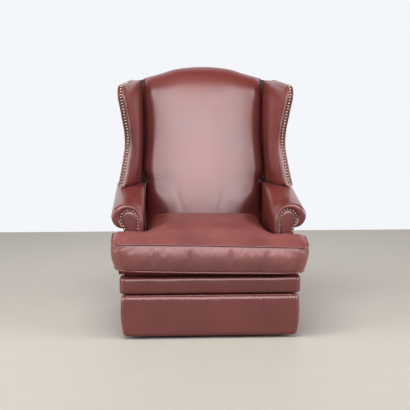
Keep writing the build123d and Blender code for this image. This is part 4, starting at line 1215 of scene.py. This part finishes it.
# Seat cushion: bulging boxing between two welted seams, and a crowned top
seat = {
    "half": 0.410, "front": -0.440, "earRear": -0.302, "stem": 0.268, "rear": 0.118, "corner": 0.034,
    "earCorner": 0.016, "inside": 0.010, "bottom": 0.2605, "lowSeam": 0.273, "highSeam": 0.390,
    "inset": 0.011, "lowInset": 0.018, "spacing": 0.0055, "boxingRows": 24, "welt": 0.0042,
    "weltInset": 0.0025, "held": 0.004, "earRise": 0.028, "crown": 0.4585, "crownFall": 0.024,
    "blend": 0.006,
    "edgeDepths": (-0.44, -0.37, -0.25, 0.0, 0.06, 0.108),
    "edgeReach": (0.050, 0.040, 0.085, 0.100, 0.060, 0.030),
    "cornerIn": (0.017, 0.020), "tiltHalf": 0.39, "highTilt": (0.009, 0.002, -0.010),
    "lowTilt": (0.015, 0.005, -0.001),
    "cloth": {"tension": 10, "bending": 0.6, "spare": 0.010, "pressure": 3.5, "cap": 0.007},
}


def seatOutline(inset):
    # T shape: the ears reach out in front of the arms, the stem runs back between them
    half, front, earRear = seat["half"] - inset, seat["front"] + inset, seat["earRear"] - inset
    stem, rear, corner = seat["stem"] - inset, seat["rear"] - inset, seat["corner"]
    notch, ear = seat["inside"] + inset, seat["earCorner"]
    line = arcLine((-half + corner, front + corner), corner, 180, 270, 10)
    line += arcLine((half - corner, front + corner), corner, 270, 360, 10)
    line += arcLine((half - ear, earRear - ear), ear, 0, 90, 6)
    line += arcLine((stem + notch, earRear + notch), notch, 270, 180, 6)
    line += arcLine((stem - corner, rear - corner), corner, 0, 90, 10)
    line += arcLine((-stem + corner, rear - corner), corner, 90, 180, 10)
    line += arcLine((-stem - notch, earRear + notch), notch, 0, -90, 6)
    line += arcLine((-half + ear, earRear - ear), ear, 90, 180, 6)
    return line


crownLine = smoothLine([(-0.430, 0.3970), (-0.395, 0.4165), (-0.345, 0.4335), (-0.275, 0.4465),
                        (-0.185, 0.4555), (-0.07, 0.4590), (0.03, 0.4585), (0.108, 0.455)], 20)
seamOutline = evenLine(seatOutline(seat["inset"]), seat["spacing"], closed=True)


def seamHeight(y):
    # The upper seam climbs along the ears from the front to the arms
    climb = np.clip((y - seat["front"] - 0.012) / 0.122, 0, 1)
    return seat["highSeam"] + seat["earRise"] * climb * (1 - 0.9 * smoothStep(y, -0.29, -0.05))


def seatTop(x, y):
    # The lower of two crowns, one along and one across, that falls softly to the seam
    gap = distanceTo(seamOutline, np.stack([x, y], axis=1))
    along = np.interp(y, crownLine[:, 0], crownLine[:, 1])
    across = seat["crown"] - seat["crownFall"] * (np.abs(x) / seat["half"]) ** 2
    crown = -seat["blend"] * np.log(np.exp(-along / seat["blend"]) + np.exp(-across / seat["blend"]))
    soft = np.clip(gap / np.interp(y, seat["edgeDepths"], seat["edgeReach"]), 0, 1)
    seam = seamHeight(y)
    return seam + np.maximum(crown - seam, 0.003) * (1 - (1 - soft) ** 2.2) ** 0.62


def roundCorners(line, share):
    # The lower the seam, the further its two front corners are drawn in
    corner = smoothStep(np.abs(line[:, 0]), 0.29, 0.40) * smoothStep(-line[:, 1], 0.33, 0.43)
    corner = corner * (1 - share)
    across, deep = seat["cornerIn"]
    return line + np.column_stack([-np.sign(line[:, 0]) * across * corner, deep * corner])


def boxingLevels():
    # Heights of the rings under the upper seam, and how far each stands out or in
    high, low, inset = seat["highSeam"], seat["lowSeam"], seat["inset"]
    levels = []
    for share in np.linspace(0, 1, seat["boxingRows"])[1:-1]:
        bulge = (inset + 0.002 * share) * math.sin(share * math.pi) ** 0.7
        levels.append((high - (high - low) * share, bulge - (seat["lowInset"] - inset) * share))
    reach = inset - seat["lowInset"]
    return levels + [(low, reach), (low - 0.002, reach - 0.012), (low - 0.005, reach - 0.028),
                     (seat["bottom"], reach - 0.036)]


edge, flat, faces = fillOutline(seamOutline, seat["spacing"], (0.0012, 0.003, 0.0058, 0.0105))
rim = len(edge)
tangents = lineWays(edge, closed=True)
outward = np.stack([tangents[:, 1], -tangents[:, 0]], axis=1)
vertices = [np.column_stack([flat, seatTop(flat[:, 0], flat[:, 1])])]
upper, lower = 0, len(flat)
for z, reach in boxingLevels():
    share = min(1.0, max(0.0, (z - seat["lowSeam"]) / (seat["highSeam"] - seat["lowSeam"])))
    lift = (seamHeight(edge[:, 1]) - seat["highSeam"]) * share
    vertices.append(np.column_stack([roundCorners(edge + outward * reach, share), z + lift]))
    for i in range(rim):
        j = (i + 1) % rim
        faces.append((upper + j, upper + i, lower + i, lower + j))
    upper, lower = lower, lower + rim
faces.append(tuple(range(upper, upper + rim))[::-1])
seatCushion = newPiece("seatCushion", np.vstack(vertices), faces, 75)


def seatTilt(points):
    # The measured slant of the two seams across the front, fading towards the rear
    x, y, z = points[:, 0], points[:, 1], points[:, 2]
    places = (-seat["tiltHalf"], 0, seat["tiltHalf"])
    high, low = np.interp(x, places, seat["highTilt"]), np.interp(x, places, seat["lowTilt"])
    share = smoothStep(z, seat["lowSeam"], seat["highSeam"])
    fade = 1 - 0.8 * smoothStep(y, -0.38, -0.05)
    return (low + (high - low) * share) * fade * smoothStep(z, seat["bottom"], seat["lowSeam"])


points = readPoints(seatCushion)
flatGap = distanceTo(seamOutline, points[:, :2])
overHigh = points[:, 2] - seamHeight(points[:, 1])
nearHigh = np.exp(-(overHigh / seat["held"]) ** 2) * np.exp(-(flatGap / seat["held"]) ** 2)
nearLow = np.exp(-((points[:, 2] - seat["lowSeam"]) / seat["held"]) ** 2)
held = np.maximum(np.maximum(nearHigh, nearLow), (points[:, 2] < seat["lowSeam"] - 0.002) * 1.0)
puffUp(seatCushion, held, seat["cloth"])
points = readPoints(seatCushion)
points[:, 2] += seatTilt(points)
writePoints(seatCushion, points)
dress(seatCushion, "loose_cushion", seatLeatherPaintedLight, ["seat_cushion"])
highWelt = evenLine(seatOutline(seat["inset"] - seat["weltInset"]), 0.006, closed=True)
lowWelt = evenLine(seatOutline(seat["lowInset"] - seat["weltInset"]), 0.006, closed=True)
lowWelt = roundCorners(lowWelt, 0.0)
for name, node, line, height in (
    ("cushionUpperWelt", "cushion_upper_welt", highWelt, seamHeight(highWelt[:, 1])),
    ("cushionLowerWelt", "cushion_lower_welt", lowWelt, np.full(len(lowWelt), seat["lowSeam"])),
):
    path = np.column_stack([line, height])
    path[:, 2] += seatTilt(path)
    welt = pipeAlong(name, path, seat["welt"], closed=True)
    dress(welt, "loose_cushion", weltLeather, [node])
print("seat cushion made")

# Decorative nails, laid by a node tree along lines that carry the way each nail faces
nails = {
    "pitch": 0.0132, "radius": 0.0038, "height": 0.0034, "segments": 12, "rings": 6, "proud": 0.0004,
    "shadeStripWidth": 0.0112, "shadeStripLift": 0.0007, "shadeStripRoot": 0.001, "wingDepth": 0.030, "wingEnd": 0.27,
}


def makeNailTree():
    tree = bpy.data.node_groups.new("nailRow", "GeometryNodeTree")
    sockets = {}
    for label, kind in (("Lines", "NodeSocketGeometry"), ("Pitch", "NodeSocketFloat"),
                        ("Head Radius", "NodeSocketFloat"), ("Head Height", "NodeSocketFloat"),
                        ("Metal", "NodeSocketMaterial")):
        socket = tree.interface.new_socket(name=label, in_out="INPUT", socket_type=kind)
        sockets[label] = socket.identifier
    tree.interface.new_socket(name="Nails", in_out="OUTPUT", socket_type="NodeSocketGeometry")
    given, out = tree.nodes.new("NodeGroupInput"), tree.nodes.new("NodeGroupOutput")
    toCurve = tree.nodes.new("GeometryNodeMeshToCurve")
    resample = addNode(tree, "GeometryNodeResampleCurve", {"mode": "LENGTH"})
    toPoints = tree.nodes.new("GeometryNodeInstanceOnPoints")
    dome = addNode(tree, "GeometryNodeMeshUVSphere", Segments=nails["segments"], Rings=nails["rings"],
                   Radius=1.0)
    facingWay = addNode(tree, "GeometryNodeInputNamedAttribute", {"data_type": "FLOAT_VECTOR"},
                        Name="outward")
    turn = addNode(tree, "FunctionNodeAlignRotationToVector", {"axis": "Z"})
    size = tree.nodes.new("ShaderNodeCombineXYZ")
    realize = tree.nodes.new("GeometryNodeRealizeInstances")
    smooth = tree.nodes.new("GeometryNodeSetShadeSmooth")
    setMetal = tree.nodes.new("GeometryNodeSetMaterial")
    for source, output, target, socket in (
        (given, "Lines", toCurve, "Mesh"),
        (toCurve, "Curve", resample, "Curve"),
        (given, "Pitch", resample, "Length"),
        (resample, "Curve", toPoints, "Points"),
        (dome, "Mesh", toPoints, "Instance"),
        (facingWay, "Attribute", turn, "Vector"),
        (turn, "Rotation", toPoints, "Rotation"),
        (given, "Head Radius", size, "X"),
        (given, "Head Radius", size, "Y"),
        (given, "Head Height", size, "Z"),
        (size, "Vector", toPoints, "Scale"),
        (toPoints, "Instances", realize, "Geometry"),
        (realize, "Geometry", smooth, "Geometry"),
        (smooth, "Geometry", setMetal, "Geometry"),
        (given, "Metal", setMetal, "Material"),
        (setMetal, "Geometry", out, "Nails"),
    ):
        tree.links.new(source.outputs[output], target.inputs[socket])
    return tree, sockets


nailTree, nailSockets = makeNailTree()


def layNails(name, rows, body):
    # One mesh of nails for a body; each row is its points and the way the nails face
    mesh = bpy.data.meshes.new(name)
    points = np.vstack([line for line, ways in rows])
    edges, first = [], 0
    for line, ways in rows:
        edges += [(first + i, first + i + 1) for i in range(len(line) - 1)]
        first += len(line)
    mesh.from_pydata([tuple(map(float, p)) for p in points], edges, [])
    outward = mesh.attributes.new("outward", "FLOAT_VECTOR", "POINT")
    facings = np.vstack([ways for line, ways in rows])
    outward.data.foreach_set("vector", facings.astype(np.float32).ravel())
    piece = linkObject(name, mesh)
    laid = piece.modifiers.new("nails", "NODES")
    laid.node_group = nailTree
    for label, value in (("Pitch", nails["pitch"]), ("Head Radius", nails["radius"]),
                         ("Head Height", nails["height"]), ("Metal", agedBrass)):
        laid[nailSockets[label]] = value
    bakeModifiers(piece)
    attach(piece, body)


def layStrip(name, row, ways, width, lift):
    # A thin flat strip along a row, on the face that its nails hold down, painted near black as the
    # shade between the nails
    across = np.cross(np.gradient(row, axis=0), ways)
    across *= width / 2 / np.linalg.norm(across, axis=1)[:, None]
    root = ways * nails["shadeStripRoot"]
    corners = np.stack([row - across - root, row - across * 0.9 + ways * lift,
                        row + across * 0.9 + ways * lift, row + across - root], axis=1)
    return newTube(name, list(corners), 60)


mirror = np.array([-1.0, 1.0, 1.0])
row = evenLine(facingNails, 0.004)
bed = armFront - facing["nailBed"] - 0.0006
facingRow = np.stack([row[:, 0], np.full(len(row), bed), row[:, 1]], axis=1)
forward = np.tile([0.0, -1.0, 0.0], (len(row), 1))
layNails("facingNails", [(facingRow, forward), (facingRow * mirror, forward)], "base")
line = evenLine(wingFree[wingFree[:, 0] < nails["wingEnd"]], 0.004)
line = line[line[:, 1] > wing["foot"] + 0.006]
tangents = lineWays(line)
wingRow = bendWing(placeWing(line[:, 0], line[:, 1], np.full(len(line), nails["wingDepth"])))
zero = np.zeros(len(line))
ways = placeWing(-tangents[:, 1], tangents[:, 0], zero) - placeWing(zero, zero, zero)
raised = wingRow + ways * nails["proud"]
layNails("wingNails", [(raised, ways), (raised * mirror, ways * mirror)], "reclining_back")
# Near-black strips under the nail rows: painted shade between the nails
for name, row, facingWays, body in (("facingGimpRight", facingRow, forward, "base"),
                                    ("wingGimpRight", wingRow, ways, "reclining_back")):
    strip = layStrip(name, row, facingWays, nails["shadeStripWidth"], nails["shadeStripLift"])
    dressPair(strip, body, paintedShadeLeather)
print("nails laid")

# Studio: pale floor and backdrop, soft lamps, and the camera at the photograph's angle
studio = {
    "camera": (-0.1844, -3.9107, 1.0), "aim": (-0.0039, 0.0, 0.5021), "lens": 76.83,
    "floorFar": 2.44, "floorNear": -12, "floorHalf": 30,
    "floorLight": (0.43, 0.405, 0.365, 1), "floorDark": (0.385, 0.365, 0.33, 1),
    "backdrop": (0.905, 0.922, 0.956, 1), "ambient": (0.17, 0.165, 0.165, 1),
    "shine": (0.05, 0.05, 0.05, 1),
    # Name, place, aim, size, power and colour of each lamp
    "lamps": [
        ("overheadLamp", (-0.4, -1.2, 3.6), (0, -0.1, 0.5), (2.4, 1.8), 128, (1.0, 0.99, 0.98)),
        ("leftLamp", (-4.2, -1.7, 1.6), (0, 0, 0.8), (2.6, 2.4), 215, (1.0, 0.98, 0.98)),
        ("rightLamp", (4.2, -1.7, 1.6), (0, 0, 0.8), (2.6, 2.4), 215, (1.0, 0.98, 0.98)),
        ("frontLamp", (0.1, -4.5, 2.75), (0, 0, 0.8), (4.8, 3.1), 400, (1.0, 0.985, 1.0)),
        ("rearLamp", (0.6, 4.6, 2.6), (0, 0, 0.6), (3.0, 2.0), 70, (1.0, 1.0, 1.0)),
    ],
    "withoutShine": ("overheadLamp", "rearLamp"), "shineOnly": ("frontLamp",),
}
far, near, side = studio["floorFar"], studio["floorNear"], studio["floorHalf"]
floor = newPiece("studioFloor", [(-side, far, 0), (-side, near, 0), (side, near, 0), (side, far, 0)],
                 [(0, 1, 2, 3)])
floorPaint = bpy.data.materials.new("floorPaint")
floorPaint.use_nodes = True
nodes = floorPaint.node_tree
shader = nodes.nodes["Principled BSDF"]
shader.inputs["Roughness"].default_value = 0.6
shader.inputs["Specular IOR Level"].default_value = 0.1
place = nodes.nodes.new("ShaderNodeTexCoord")
grit = addNode(nodes, "ShaderNodeTexNoise", Scale=9.0, Detail=6.0, Roughness=0.75)
nodes.links.new(place.outputs["Object"], grit.inputs["Vector"])
nodes.links.new(mixColour(nodes, grit.outputs["Fac"], studio["floorLight"], studio["floorDark"]),
                shader.inputs["Base Color"])
floor.data.materials.append(floorPaint)


def makeWorld():
    # The wall behind is bright for the eye and for reflections, and plain light fills the rest
    world = bpy.data.worlds.new("studioWorld")
    world.use_nodes = True
    tree = world.node_tree
    tree.nodes.clear()
    rays = tree.nodes.new("ShaderNodeLightPath")
    direction = tree.nodes.new("ShaderNodeTexCoord")
    axes = tree.nodes.new("ShaderNodeSeparateXYZ")
    behind = addNode(tree, "ShaderNodeMapRange", {"interpolation_type": "SMOOTHSTEP"}, From_Min=0.0,
                     From_Max=0.55)
    seen = addNode(tree, "ShaderNodeBackground", Color=studio["backdrop"])
    lit = addNode(tree, "ShaderNodeBackground", Color=studio["ambient"])
    mirrored = tree.nodes.new("ShaderNodeBackground")
    chooseShine = tree.nodes.new("ShaderNodeMixShader")
    chooseSeen = tree.nodes.new("ShaderNodeMixShader")
    end = tree.nodes.new("ShaderNodeOutputWorld")
    shine = mixColour(tree, behind.outputs["Result"], studio["shine"], studio["backdrop"])
    for source, target in (
        (direction.outputs["Generated"], axes.inputs[0]),
        (axes.outputs["Y"], behind.inputs["Value"]),
        (shine, mirrored.inputs["Color"]),
        (rays.outputs["Is Glossy Ray"], chooseShine.inputs[0]),
        (lit.outputs[0], chooseShine.inputs[1]),
        (mirrored.outputs[0], chooseShine.inputs[2]),
        (rays.outputs["Is Camera Ray"], chooseSeen.inputs[0]),
        (chooseShine.outputs[0], chooseSeen.inputs[1]),
        (seen.outputs[0], chooseSeen.inputs[2]),
        (chooseSeen.outputs[0], end.inputs[0]),
    ):
        tree.links.new(source, target)
    return world


def lookAt(made, where, aim):
    made.location = where
    made.rotation_euler = (Vector(aim) - Vector(where)).to_track_quat("-Z", "Y").to_euler()


scene.world = makeWorld()
for name, where, aim, size, power, colour in studio["lamps"]:
    light = bpy.data.lights.new(name, "AREA")
    light.shape = "RECTANGLE"
    light.size, light.size_y = size
    light.energy = power
    light.color = colour
    lamp = linkObject(name, light)
    lamp.visible_glossy = name not in studio["withoutShine"]
    lamp.visible_diffuse = name not in studio["shineOnly"]
    lookAt(lamp, where, aim)
lens = bpy.data.cameras.new("photoCamera")
lens.lens = studio["lens"]
lens.sensor_width = 36
camera = linkObject("photoCamera", lens)
lookAt(camera, studio["camera"], studio["aim"])
scene.camera = camera
scene.view_settings.view_transform = "Standard"
print("studio made")
